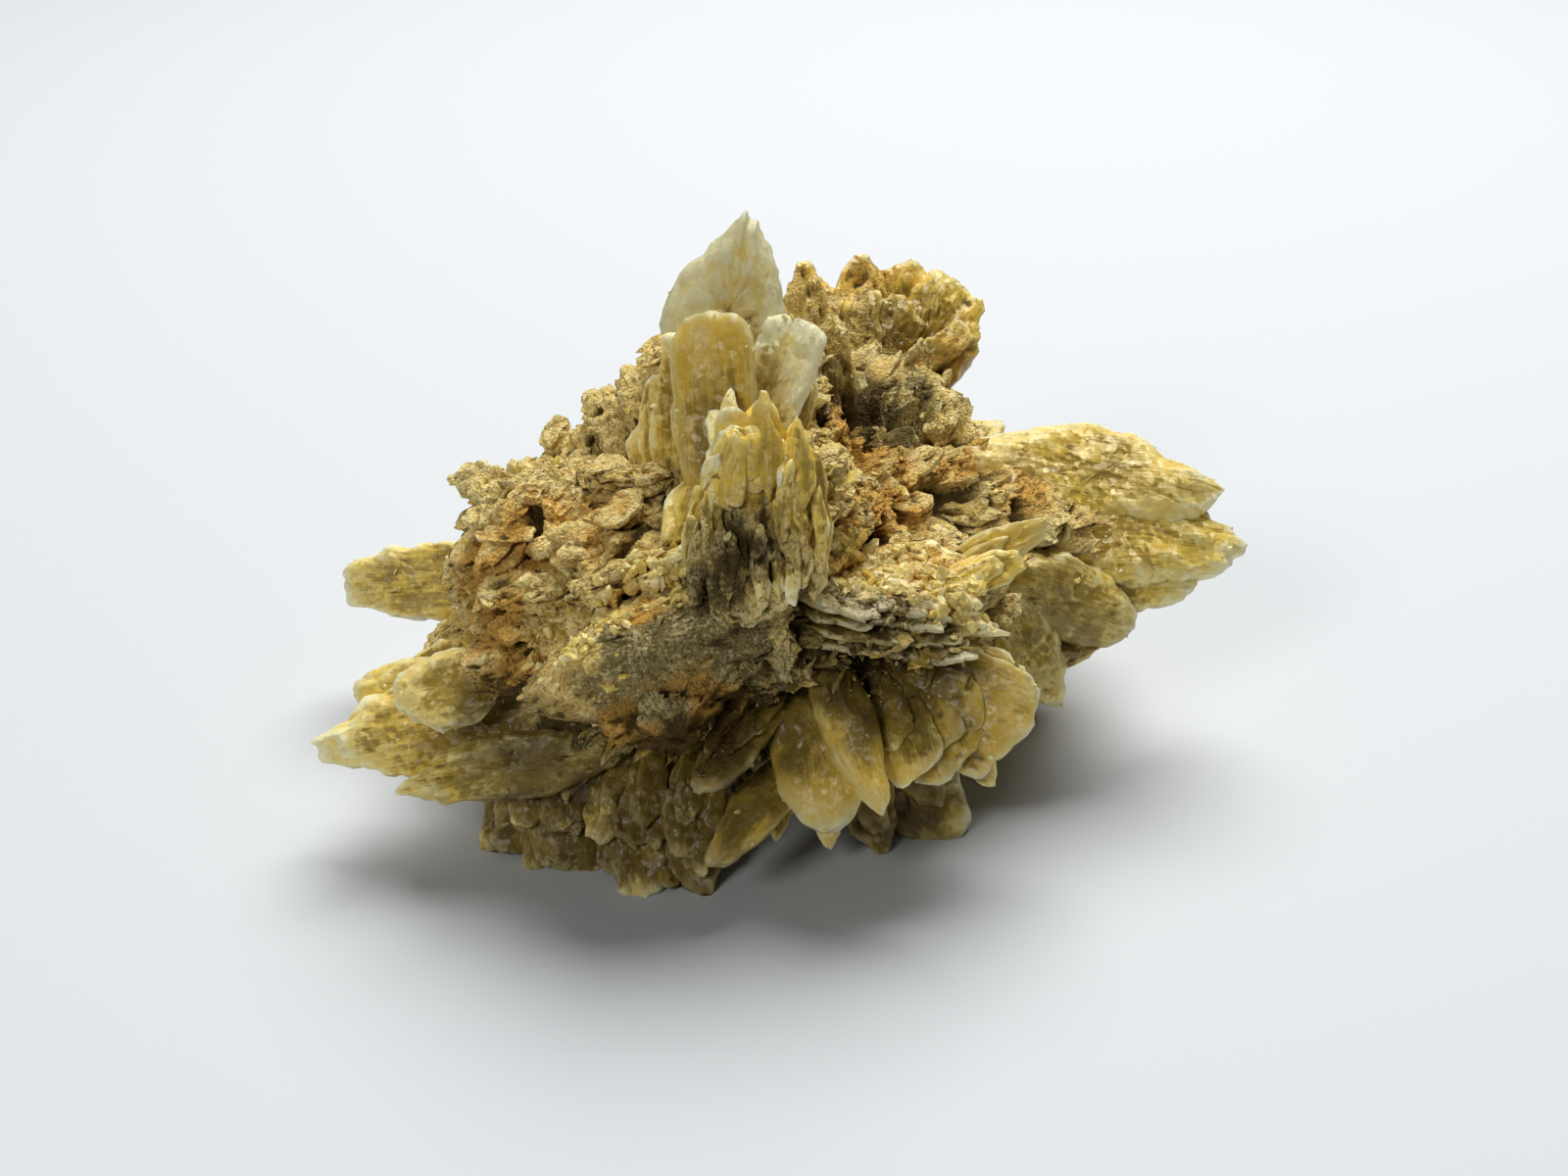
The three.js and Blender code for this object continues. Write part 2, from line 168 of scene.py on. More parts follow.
# Right lobe: a thick stack of pale leaves pointing right, with short blades under it
RIGHT_LOBE = [
    Blade((18, 4, 32), (48.3, 7, 26.8), 6.8, 6.5, LEAF, (1, -6, 8), LOBE),
    Blade((18, -2, 27), (50.5, 4.7, 22.7), 7.4, 7, LEAF, (1, -6, 7), LOBE),
    Blade((20, -5, 23), (46.3, 1.5, 20), 4.1, 5, LEAF, (1, -7, 6), LOBE),
    Blade((20, 9, 31), (42, 14.5, 28.4), 3.2, 6, LEAF, (0, -6, 8), LOBE),
    Blade((20, -7, 25), (37.5, -4, 18.1), 4.9, 5, DISC, FRONT_STEEP, LOBE),
    Blade((22, -8, 15), (35, -3.5, 14.6), 2, 3, LENS, FRONT, PETAL),
    Blade((22, -7, 24), (28.5, -8, 10.5), 3.8, 5, DISC, FRONT_STEEP, LOBE),
    Blade((12, -15, 25), (27.2, -11.7, 34.2), 2.4, 3, LEAF, (2, -7, 6), CLEAR),
    Blade((14, -20, 29.5), (23.8, -17.4, 31.8), 2.2, 3, DISC, (1, -7, 6), CLEAR),
    Blade((22, 11, 28), (32, 18, 31), 1.5, 3, LENS, FRONT, PETAL),
]

# Ledges on the front right: thin plates lying on each other with gaps between them
LEDGES = [
    Blade((2, -14, 30.6), (18.8, -19.5, 30.4), 4, 2.2, FAN, (-1, -3, 9), KNOB),
    *row(
        3,
        Blade((2, -15, 30.6), (20.6, -22.8, 29.9), 4.4, 1.0, LEAF, (-0.8, -2, 9), LEDGE),
        Blade((1, -17, 27.6), (23.2, -25.4, 27.0), 4.4, 1.1, LEAF, (-0.3, -2, 9), LEDGE),
    ),
    *row(
        4,
        Blade((0, -16.5, 30.2), (15.5, -24.2, 29.9), 3.0, 1.1, FAN, (-0.5, -2, 9), LEDGE),
        Blade((-1, -17.5, 26.2), (19.5, -26.4, 25.6), 3.0, 1.1, FAN, (-0.2, -2, 9), LEDGE),
    ),
    *row(
        4,
        Blade((-3, -18.5, 30.4), (10.5, -25.8, 30.2), 2.3, 1.0, FAN, (0, -2, 9), LEDGE),
        Blade((-4, -19, 26.6), (13.2, -26.6, 26.0), 2.3, 1.0, FAN, (0, -2, 9), LEDGE),
    ),
]

# Fan and petals at the front, below the cavity
PETALS = [
    Blade((7, -18, 20), (24.8, -27, 17), 5.6, 3.4, FAN, (1, -8, 3), CLEAR),
    Blade((8, -15, 21.5), (25.4, -23, 20.6), 3, 3, LEAF, (1, -7, 5), STACK),
    Blade((9, -18, 22), (12, -31, 13.8), 4, 3.2, FAN, FRONT_STEEP, PETAL),
    Blade((10, -18, 21), (17.5, -28.5, 14), 4.5, 3.2, FAN, (1, -8, 3), CLEAR),
    Blade((15, -18, 16), (21, -24, 9.8), 2, 2.5, DISC, FRONT, CLEAR),
    Blade((1.5, -17, 22), (4.7, -33, 10.3), 5.1, 4.2, DISC, (-2, -8, 3), HONEY),
    Blade((2.5, -19, 24), (9.3, -34.8, 13), 3, 4.6, LEAF, (3, -8, 2), HONEY),
    Blade((5, -19, 14), (4.4, -25.3, 3), 2, 3, LEAF, FRONT, PETAL),
    Blade((2, -17, 21), (-9.2, -33.4, 13.6), 2.9, 4.5, LEAF, (-2, -8, 5), CLEAR),
    Blade((3, -20, 12.5), (-7.6, -34.6, 6.9), 2.8, 3.5, LEAF, (-1, -8, 4), HONEY),
    Blade((1, -20, 13), (-0.8, -28.3, 6), 1.8, 2.5, LEAF, FRONT, CLEAR),
]

# Low petals that the specimen rests on, front and back. Their middle lines end this far below the floor, and
# what would lie below it is flattened against it
FOOT_DEPTH = 1
FEET = [
    Blade((-21, -15, 12), (-31.5, -21, -FOOT_DEPTH), 3.9, 4.5, DISC, FRONT, PETAL),
    Blade((-20, -16, 11), (-26.5, -24, -FOOT_DEPTH), 3.2, 4.5, DISC, FRONT, PETAL),
    Blade((-20, -15, 13), (-22.2, -25.2, -FOOT_DEPTH), 5.8, 5, DISC, FRONT_STEEP, PETAL),
    Blade((-13.5, -17, 13), (-14.7, -28.2, -FOOT_DEPTH), 4.6, 5, DISC, FRONT_LEFT, PETAL),
    Blade((-9, -18, 13), (-8.4, -29, -FOOT_DEPTH), 4.1, 5, DISC, (1, -9, 3), PETAL),
    *row(
        5,
        Blade((-22, -17, 13.5), (-27.5, -23.5, 4.5), 3.0, 2.6, DISC, (-1, -9, 5), PETAL),
        Blade((-9, -19, 13), (-9.8, -28.6, 3.5), 3.0, 2.6, DISC, (1, -9, 5), PETAL),
    ),
    *row(
        4,
        Blade((-22, -17, 9), (-28.8, -22.6, 0.5), 2.4, 2.4, FAN, (-1, -9, 5), PETAL),
        Blade((-12, -19, 8), (-11.4, -28.4, 0.3), 2.4, 2.4, FAN, (1, -9, 5), PETAL),
    ),
    Blade((7, -12, 13), (18, -18.5, -FOOT_DEPTH), 5, 6, DISC, FRONT, PETAL),
    Blade((6, -14, 13), (10.2, -21, -FOOT_DEPTH), 3.2, 5, DISC, FRONT, PETAL),
    Blade((19, 2, 13), (28, 12, -FOOT_DEPTH), 6, 6, DISC, (4, 6, 5), STACK),
    Blade((5, 12, 13), (14, 25, -FOOT_DEPTH), 7, 6, DISC, (1, 7, 5), STACK),
    Blade((-12, 8, 13), (-23, 21, -FOOT_DEPTH), 6.5, 6, DISC, (-3, 6, 5), STACK),
]

# Left front lobe: honey plates reaching out low, over a dark hollow
LEFT_FRONT = [
    Blade((-23, -18, 15.5), (-47.5, -19, 11), 5.8, 5, DISC, (-1, -7, 6), LOBE),
    Blade((-27, -15, 16), (-45.2, -14.5, 15), 3.4, 4, DISC, (-2, -7, 6), LOBE),
    Blade((-27.5, -20, 20.3), (-38.5, -22.3, 17.9), 4.2, 4.5, DISC, (-4, -7, 6), LOBE),
    Blade((-15, -21, 13), (-39.5, -24.2, 9.5), 3.8, 3.8, LEAF, FRONT_STEEP, LOBE),
    Blade((-27, -9, 19), (-41.6, -7, 12.8), 2, 4, DISC, FRONT, LOBE),
]

# Left back lobe: a squared honey slab and a plate under it
LEFT_BACK = [
    Blade((-24, 7, 17), (-50.5, 13.5, 13.2), 4.6, 7.5, SLAB, (0, -8, 5), LOBE),
    Blade((-25, 5, 17), (-40.2, 1, 10.6), 3.4, 6, DISC, FRONT, KNOB),
]

# Rough ledges and knobs down the left slope
LEFT_SLOPE = [
    Blade((-20, -12, 30), (-33, -2.5, 34.8), 2.6, 5, SLAB, (-2, -4, 9), KNOB),
    Blade((-19, -14, 28), (-32.4, -11.5, 30), 3.1, 6, DISC, FRONT, CRUST),
    Blade((-13, -21, 31), (-30.6, -19, 28.7), 2.4, 3, SLAB, (-1, -6, 9), CRUST),
    Blade((-5, -21, 35), (-22.4, -25.5, 31.3), 2.1, 3, LEAF, (-2, -6, 8), CRUST),
    Blade((-15, -20, 26.5), (-30.5, -21, 24.8), 3.4, 6, DISC, FRONT, CRUST),
    Blade((-16, -22, 24), (-32.2, -22.8, 21.2), 2.9, 6, DISC, FRONT, CRUST),
    Blade((-20, -7, 28), (-29, 3.7, 33.5), 3.6, 7, DISC, FRONT, KNOB),
    Blade((-19, -7, 28), (-25, 10, 33), 3.7, 7, DISC, FRONT, KNOB),
    Blade((-15, -6, 31), (-22.5, 7.4, 35.5), 3.6, 7, DISC, FRONT, KNOB),
    *row(
        3,
        Blade((-14, -6, 34), (-20, 10.5, 38.5), 3.8, 8, DISC, FRONT, KNOB),
        Blade((-9, -6, 40), (-13.8, 5.5, 46), 2.8, 7, DISC, FRONT, KNOB),
    ),
    Blade((-9, -12.5, 38), (-20.6, -10.3, 36.9), 1.8, 3, DISC, (-1, -6, 9), CRUST),
]

# Snout: a sand-smooth nose, with a fringe of small teeth along its underside
SNOUT = [
    Blade((1, -24, 30), (-25.3, -28.9, 22.4), 5.8, 12, LEAF, (0, -7, 6), NOSE),
    Blade((-4, -23, 26), (-17.6, -31, 17.9), 5.1, 11, DISC, FRONT_STEEP, CRUST),
    *row(
        4,
        Blade((-12, -24, 22), (-18, -30, 15.5), 1.4, 2.2, LENS, FRONT, PETAL),
        Blade((-3, -23, 22), (-8, -31, 16.5), 1.4, 2.2, LENS, FRONT, PETAL),
    ),
]

# Clear chisel-tipped crystals over the top of the comb
COMB_TOPS = [
    Blade((-2.6, -21.5, 42.8), (-1.7, -15.9, 48.5), 2.3, 2.2, LENS, FRONT, HONEY),
    Blade((-0.3, -23.1, 41.7), (1.2, -17.9, 46.7), 1.5, 2.0, LENS, (2, -9, 4), HONEY),
    Blade((0.4, -20.1, 45.5), (-0.5, -24.5, 42.5), 0.8, 1.4, LENS, (2, -9, 4), ICE),
    Blade((-5.7, -19.1, 45.3), (-4.9, -14.7, 48.5), 1.1, 1.5, LEAF, FRONT_LEFT, ICE),
    Blade((-5.5, -20.1, 43.3), (-6.7, -14.8, 46.1), 1.3, 1.6, DISC, FRONT_LEFT, ICE),
    Blade((-7.5, -23.1, 41.7), (-5.6, -21.9, 45.5), 0.4, 0.9, LENS, FRONT_LEFT, ICE),
    Blade((-9.2, -23.9, 38.0), (-8.2, -23.0, 41.1), 0.4, 0.9, LENS, FRONT_LEFT, ICE),
    Blade((3.5, -25.1, 35.6), (2.0, -20.6, 43.6), 1.4, 1.8, LEAF, (5, -8, 3), PETAL),
    Blade((1.8, -26.5, 37.3), (0.5, -22.9, 43.6), 1.2, 1.6, LEAF, (3, -8, 3), PETAL),
    Blade((-4.4, -23.3, 41.3), (-5.0, -20.2, 46.7), 1.7, 2.0, DISC, FRONT, HONEY),
    Blade((-2.9, -23.3, 41.3), (-2.6, -20.3, 46.4), 1.4, 2.0, SLAB, FRONT, HONEY),
]

# Points that hang from the bottom of the comb
COMB_FRINGE = [
    Blade((-7.6, -24.2, 40), (-8.4, -28.0, 32.2), 1.1, 1.8, LEAF, (-2, -9, 2), STRIP),
    Blade((-6.2, -25.0, 38), (-6.4, -28.4, 33.6), 0.8, 1.6, LENS, (-1, -9, 3), STRIP),
    Blade((-5.0, -25.0, 38.4), (-5.2, -28.8, 31.9), 1.0, 1.8, LEAF, (1, -9, 2), STRIP),
    Blade((-3.4, -25.2, 37.2), (-3.9, -28.8, 33.2), 0.7, 1.4, LENS, FRONT_STEEP, STRIP),
    Blade((-2.2, -25.0, 38.8), (-2.0, -29.2, 31.0), 1.2, 2.0, LEAF, (1, -9, 2), STRIP),
    Blade((-0.6, -25.2, 38), (-0.4, -28.9, 32.6), 0.9, 1.6, LENS, FRONT_STEEP, STRIP),
    Blade((0.8, -25.0, 39), (0.6, -28.9, 31.4), 1.1, 1.9, LEAF, (2, -9, 2), STRIP),
]

# Central comb above the snout: a grained recess between upright blades, with clear crystals over its top
COMB = [
    Blade((-3.6, -27.6, 29.5), (-3.2, -18.5, 46.5), 4.6, 4.4, SLAB, FRONT_STEEP, RECESS),
    *row(
        3,
        Blade((-8.0, -26.8, 33), (-8.4, -21.5, 42), 1.1, 2.6, SLAB, (-3, -9, 3), PETAL),
        Blade((-5.8, -25.6, 36), (-6.2, -22, 44), 0.9, 2.2, SLAB, (-1, -9, 3), PETAL),
    ),
    Blade((0.2, -27, 36), (0, -20.5, 46), 1.5, 3, LEAF, (1, -9, 4), STACK),
    Blade((1.4, -26.8, 33), (1.2, -20, 45), 1.7, 3.4, SLAB, (2, -9, 4), STACK),
    Blade((2.9, -26.2, 31.5), (2.5, -19.2, 46), 1.9, 4, LEAF, (4, -8, 4), STACK),
    Blade((-1.2, -24, 39), (-1.9, -18, 50), 2.5, 4.5, LENS, FRONT, CLEAR),
    Blade((1.2, -24.5, 38.5), (1.2, -18.8, 47.5), 1.9, 4, LENS, FRONT, HONEY),
    Blade((-4.6, -24.5, 38.5), (-4.4, -18, 48.2), 2.4, 4, SLAB, FRONT_LEFT, CLEAR),
    Blade((-7, -14, 40), (-11.4, -22.5, 35.5), 2.1, 3, LEAF, FRONT_LEFT, CLEAR),
    *COMB_TOPS,
    *COMB_FRINGE,
    Blade((6.4, -10.4, 34.2), (6.4, -11.4, 37), 1.3, 5.5, DISC, (4, -1.3, -2.6), STACK),
]

# Back, turned away from the front view: broad leaves standing out like an open flower
BACK_LEAVES = [
    Blade((-10, 11, 19), (-31, 31, 14), 9, 7, DISC, (-3, 3, 8), PAGES),
    Blade((-7, 14, 25), (-23, 35, 22), 8, 6, LEAF, (-2, 4, 8), PAGES),
    Blade((-1, 15, 27), (-4, 38.5, 27), 9, 6, DISC, UP_BACK, PAGES),
    Blade((5, 14, 22), (15, 38, 17), 8, 6, LEAF, (1, 4, 8), PAGES),
    Blade((9, 13, 26), (28, 34, 22), 8.5, 7, DISC, (2, 4, 8), PAGES),
    Blade((15, 8, 21), (38, 26, 16), 8, 6, LEAF, (3, 3, 8), PAGES),
    Blade((-3, 14, 16), (-8, 36, 9), 8, 5, DISC, (-1, 5, 8), PAGES),
    Blade((-15, 6, 14), (-38, 20, 7), 6, 5, LEAF, (-3, 3, 8), PAGES),
    Blade((8, 12, 14), (24, 31, 8), 7, 5, LEAF, (2, 5, 7), PAGES),
    Blade((17, 3, 17), (36, 13, 11), 5, 5, DISC, (3, 2, 8), PAGES),
    Blade((-6, 9, 32), (-14, 26, 33), 6, 6, DISC, (-2, 6, 6), PAGES),
    Blade((3, 12, 33), (6, 29, 38), 6, 6, DISC, (0, 8, 5), PAGES),
]

# Underside: short leaves pointing down and out, clear of the floor
UNDERSIDE = [
    Blade((-8, -4, 12), (-19, -6, 3), 6, 5, LEAF, (4, 1, -8), PAGES),
    Blade((0, -6, 12), (-3, -17, 3), 5, 5, DISC, (1, 4, -8), PAGES),
    Blade((8, 0, 12), (20, -4, 3.5), 6, 5, LEAF, (-4, 1, -8), PAGES),
    Blade((2, 6, 12), (3, 17, 3), 6, 5, DISC, (0, -5, -8), PAGES),
]

# Lumps of sandy matrix that hold the blades: middle and half axes
Lump = namedtuple("Lump", "middle axes")
MATRIX = [
    Lump((0, 0, 21), (25, 19, 15)),
    Lump((-18, -8, 24), (15, 14, 11)),
    Lump((-24.5, -9, 30), (7, 8, 6)),
    Lump((-4, 1, 35), (10, 11, 12)),
    Lump((-2, -12, 32), (10, 9, 12)),
    Lump((20, 3, 24), (14, 11, 9)),
    Lump((10, 16, 30), (11, 10, 9)),
    Lump((-9, -19, 25), (14, 9, 7)),
    Lump((2, -12, 16), (20, 11, 8)),
    Lump((-24, 4, 17), (12, 9, 7)),
    Lump((0, 12, 20), (20, 13, 11)),
    Lump((-22, -16, 13), (9, 7, 5)),
    Lump((9, -11, 26), (11, 8, 6)),
    Lump((-13, -17, 31), (10, 7, 5)),
]
# The matrix is drawn as four overlapping surfaces, each seen from a middle of its own: middle, reach, points
Core = namedtuple("Core", "name middle reach around down")
CORES = [
    Core("matrix_core", (0, 0, 22), 60, 320, 160),
    Core("matrix_left_slope", (-19, -9, 25), 14.5, 280, 140),
    Core("matrix_front", (-3, -17, 29), 13.5, 240, 120),
    Core("matrix_right_hollow", (12, 4, 27), 14.5, 240, 120),
]

# Rust in the matrix: middle, radius and strength of each patch
Spot = namedtuple("Spot", "middle radius strength")
RUST = [
    Spot((7, -2, 35), 6, 1.0),
    Spot((11, -10, 33.5), 5, 0.9),
    Spot((17, 2, 34), 6, 0.6),
    Spot((18, 23, 37), 5, 0.9),
    Spot((-29, -14, 29), 6, 0.8),
    Spot((-24, -13, 31), 6, 0.8),
    Spot((-29, -20, 25), 6, 0.7),
    Spot((-26, -24, 22.5), 5, 0.8),
    Spot((-13.5, -26, 31), 3, 1.0),
    Spot((-15, -28.5, 19), 6, 0.9),
    Spot((-9, -28, 21), 6, 0.9),
    Spot((13, -19.5, 32), 5, 0.8),
    Spot((6.5, -17.5, 32), 4, 0.9),
    Spot((-19, -17, 33), 7, 0.6),
    Spot((26, 7, 31), 5, 0.5),
    Spot((4, 22, 20), 12, 0.5),
    Spot((34, 2, 27), 8, 0.4),
    Spot((9, 31, 45.5), 6, 0.8),
    Spot((4, 28, 46), 4, 0.5),
    Spot((24, 0, 28), 6, 0.5),
]
# Grey-green sand: the nose, and the grained recess of the comb
GREY = [
    Spot((-9, -30, 25.5), 8, 1.8),
    Spot((-4, -25, 36), 4.6, 0.6),
    Spot((2, -20, 26), 8, 0.5),
]

# Painted shade: spots in the hollows, under the overhangs and at the feet, painted dark where shade falls
PAINTED_SHADE_SPOTS = [
    Spot((3, -20, 24.5), 6, 1.3),
    Spot((9.5, -24, 25), 6.5, 1.9),
    Spot((-6, -25, 18), 7, 1.3),
    Spot((-8, -30, 18), 6, 1.3),
    Spot((-22, -10, 14), 8, 0.6),
    Spot((-17.5, -25, 12), 6, 1.3),
    Spot((-23.5, -24, 17), 6.2, 1.9),
    Spot((-24, -20, 5), 9, 1.25),
    Spot((-11, -25, 6), 9, 1.25),
    Spot((12, -17, 5), 10, 0.8),
    Spot((12, -25, 20), 6, 0.5),
    Spot((9, 8, 36), 8, 1.1),
    Spot((9, -2, 33), 5, 0.5),
    Spot((15, -24, 19), 7, 0.35),
    Spot((12, 20, 34), 12, 0.4),
    Spot((8, -8, 10), 10, 0.9),
    Spot((-4, -10, 6), 12, 1.0),
    Spot((30, -4, 16), 7, 0.6),
    Spot((-4, -26, 35.5), 4.6, 1.0),
]


def metres(name, description, default):
    """A size that a user can change, in metres."""
    return bpy.props.FloatProperty(name=name, description=description, default=default, unit="LENGTH")


def how_many(name, description, default):
    """How many small pieces there are."""
    return bpy.props.IntProperty(name=name, description=description, default=default, min=1)


def watts(name, description, default):
    """The power of a light, in watts."""
    return bpy.props.FloatProperty(name=name, description=description, default=default, unit="POWER")


def tint(name, description, default):
    """A colour in linear light."""
    kind = {"size": 3, "subtype": "COLOR"}
    return bpy.props.FloatVectorProperty(name=name, description=description, default=default, **kind)


class RoseSizes(bpy.types.PropertyGroup):
    """Sizes of the surface detail, and how many small pieces there are."""

    grain: metres("Sand grain", "Size of a sand grain in the matrix", 0.3 * MM)
    lump_relief: metres("Lump relief", "Height of the lumps and ledges of the matrix", 2.0 * MM)
    bedding: metres("Bedding", "Spacing of the ledges down the matrix", 3.4 * MM)
    ledges: how_many("Ledges", "Broader ledges in the matrix", 270)
    flakes: how_many("Flakes", "Flakes strewn over the matrix", 5200)
    sugar: how_many("Sugar", "Sugary crystals on the ridges", 2300)
    laths: how_many("Laths", "Thin laths in the hollow under the ledges", 220)
    splinters: how_many("Splinters", "Small crystals stuck to the leaves", 1100)


class RoseColours(bpy.types.PropertyGroup):
    """Colours of the specimen, in linear light."""

    honey: tint("Honey", "Clear selenite", (0.92, 0.64, 0.10))
    olive: tint("Olive", "Thick selenite", (0.42, 0.285, 0.045))
    frost: tint("Frost", "Milky selenite", (0.96, 0.78, 0.28))
    pale_frost: tint("Pale frost", "Fibres and crushed rims", (0.97, 0.90, 0.55))
    sand: tint("Sand", "Tan sand", (0.76, 0.54, 0.17))
    ochre: tint("Ochre", "Yellow sand", (0.88, 0.62, 0.19))
    pale_sand: tint("Pale sand", "Pale grains", (0.95, 0.80, 0.40))
    rust: tint("Rust", "Iron stain", (0.66, 0.33, 0.05))
    grey: tint("Grey", "Grey-green sand", (0.235, 0.185, 0.075))
    # The next two colours are painted shade: the first darkens the crystals in shade, the second darkens
    # crystals and sand further in the pits, crevices and hollows, and also colours the dark sand grains.
    painted_shade_selenite: tint("Deep", "Selenite in the hollows", (0.16, 0.10, 0.018))
    dark: tint("Dark", "Dirt in the pits", (0.052, 0.032, 0.009))


class RoseStage(bpy.types.PropertyGroup):
    """Light, floor and camera."""

    floor_size: metres("Floor", "Side of the floor", 4.0)
    floor_colour: tint("Floor colour", "Pale floor", (0.69, 0.715, 0.73))
    sky_strength: bpy.props.FloatProperty(name="Sky", description="Light from all round", default=0.045)
    key_power: watts("Key light", "Power of the top light", 10.6)
    fill_power: watts("Fill light", "Power of the front light", 1.7)
    lens: bpy.props.FloatProperty(name="Lens", description="Focal length in mm", default=50.0)
    sensor: bpy.props.FloatProperty(name="Sensor", description="Sensor width in mm", default=36.0)
    elevation: bpy.props.FloatProperty(
        name="Elevation", description="Height angle of the camera", default=math.radians(27), subtype="ANGLE"
    )
    distance: metres("Distance", "Camera to the point it looks at", 233 * MM)
    look_height: metres("Look height", "Height of the point it looks at", 19.7 * MM)


# Noise on points in millimetres. Its seed, a number without a meaning, tells one pattern from another

CORNERS = np.array([[i, j, k] for i in (0, 1) for j in (0, 1) for k in (0, 1)], dtype=np.uint64)
NEIGHBOURS = np.array([[i, j, k] for i in (0, 1, 2) for j in (0, 1, 2) for k in (0, 1, 2)], dtype=np.uint64)
LATTICE_OFFSET = 4096.0


def cell_value(cell, seed):
    """A fixed number from 0 to 1 for each cell: its three whole numbers mixed with large primes."""
    mixed = cell[..., 0] * np.uint64(73856093)
    mixed = mixed ^ (cell[..., 1] * np.uint64(19349663))
    mixed = mixed ^ (cell[..., 2] * np.uint64(83492791))
    mixed = (mixed ^ np.uint64(seed * 49979687)) & np.uint64(0xFFFFFFFF)
    mixed = ((mixed ^ (mixed >> np.uint64(15))) * np.uint64(2246822519)) & np.uint64(0xFFFFFFFF)
    mixed = ((mixed ^ (mixed >> np.uint64(13))) * np.uint64(3266489917)) & np.uint64(0xFFFFFFFF)
    return (mixed >> np.uint64(8)).astype(float) / 0xFFFFFF


def soft_noise(points, size, seed):
    """Smooth noise from -1 to 1: the eight corner values of a point's cell, mixed by its place in it."""
    scaled = points / size + LATTICE_OFFSET
    base = np.floor(scaled)
    part = scaled - base
    part = part * part * (3 - 2 * part)
    cell = base.astype(np.uint64)
    total = np.zeros(points.shape[:-1])
    for corner in CORNERS:
        weight = np.prod(np.where(corner > 0, part, 1 - part), axis=-1)
        total += weight * cell_value(cell + corner, seed)
    return 2 * total - 1


def rough_noise(points, size, seed, octaves=3):
    """Smooth noise with finer noise on it, each octave half the size and half the height of the last."""
    return sum(soft_noise(points, size / 2**i, seed + i) / 2**i for i in range(octaves))


def jagged(place, seed):
    """Noise from -1 to 1 along a line: straight runs between random heights at the whole numbers."""
    base = np.floor(place + LATTICE_OFFSET)
    part = place + LATTICE_OFFSET - base
    cell = np.stack([base, base * 0 + seed, base * 0], axis=-1).astype(np.uint64)
    first = cell_value(cell, 3)
    second = cell_value(cell + CORNERS[4], 3)
    return 2 * (first + (second - first) * part) - 1


def broken_faces(points, size, seed):
    """Broken crystal, about -1 to 1: each point lies on the tilted plane of the nearest of the points strewn
    one to a cell, so that neighbouring planes meet in sharp steps."""
    scaled = points / size + LATTICE_OFFSET
    base = np.floor(scaled)
    cell = base.astype(np.uint64)
    nearest = np.full(points.shape[:-1], 9.0)
    owner = np.zeros(points.shape, dtype=np.uint64)
    offset = np.zeros(points.shape)
    for neighbour in NEIGHBOURS:
        there = cell + neighbour
        place = [base[..., i] + float(neighbour[i]) - 1 + cell_value(there, seed + 7 * i) for i in range(3)]
        away = scaled - np.stack(place, axis=-1)
        distance = (away * away).sum(-1)
        closer = distance < nearest
        nearest = np.where(closer, distance, nearest)
        owner = np.where(closer[..., None], there, owner)
        offset = np.where(closer[..., None], away, offset)
    tilt = np.stack([cell_value(owner, seed + 31 + i) for i in range(3)], axis=-1) * 2 - 1
    level = cell_value(owner, seed + 41) * 2 - 1
    return 1.1 * (offset * tilt).sum(-1) + 0.6 * level


def smooth_step(low, high, value):
    """0 below low, 1 above high, and an s-curve between them."""
    t = np.clip((value - low) / (high - low), 0, 1)
    return t * t * (3 - 2 * t)


def unit(vector):
    return vector / np.linalg.norm(vector, axis=-1, keepdims=True)


def patches(points, spots, seed):
    """How strongly the spots stain each point: a bell round each spot's middle, broken up by noise."""
    total = np.zeros(points.shape[:-1])
    for spot in spots:
        away = np.linalg.norm(points - np.array(spot.middle), axis=-1) / spot.radius
        total = np.maximum(total, spot.strength * np.exp(-away * away))
    return np.clip(total * (1.1 + 0.9 * rough_noise(points, 2.6, seed)), 0, 1)


# A surface in millimetres. look holds the six columns below for each point. flow is the point in the
# crystal's own directions, which its fibres follow
Surface = namedtuple("Surface", "points faces look flow")
# The fifth column is painted shade: darkness painted in pits, crevices, hollows and on undersides. On blades
# the pale and tone columns also hold a painted glow at thin rims and tips.
SANDY, RUSTY, GREYISH, PALE, SHADE_PAINT, TONE = range(6)


def closed_faces(rows, around):
    """Faces of a grid of rows that close round, with a pole before the first row and one after the last. They
    look outwards where the rows run anticlockwise, seen from the first pole."""
    here = np.arange(around)
    after = (here + 1) % around
    first = 1 + np.arange(rows - 1)[:, None] * around
    quads = np.stack([first + here, first + around + here, first + around + after, first + after], axis=-1)
    last = 1 + (rows - 1) * around
    start = np.stack([np.zeros(around, int), here + 1, after + 1], axis=-1)
    stop = np.stack([np.full(around, 1 + rows * around), last + after, last + here], axis=-1)
    return quads.reshape(-1, 4), np.concatenate([start, stop])


def joined(surfaces):
    """Several surfaces as one, with the faces' numbers moved on."""
    quads, ends, first = [], [], 0
    for surface in surfaces:
        quads.append(surface.faces[0] + first)
        ends.append(surface.faces[1] + first)
        first += len(surface.points)
    faces = (np.concatenate(quads), np.concatenate(ends))
    rest = [np.concatenate([getattr(s, key) for s in surfaces]) for key in ("look", "flow")]
    return Surface(np.concatenate([s.points for s in surfaces]), faces, *rest)


# Rows over a plate: share of the way from its crown to its rim, on the front, and the same on the back
FINE_ROWS = (0.12, 0.24, 0.35, 0.46, 0.56, 0.65, 0.73, 0.81, 0.88, 0.94, 0.98, 1.0)
COARSE_ROWS = (0.3, 0.55, 0.75, 0.9, 1.0)
# Spacing in mm of the points round a fine and a coarse plate, and the fewest and the most points
FINE_SPACING = 0.55
COARSE_SPACING = 1.0
FEWEST_POINTS = 30
MOST_POINTS = 170
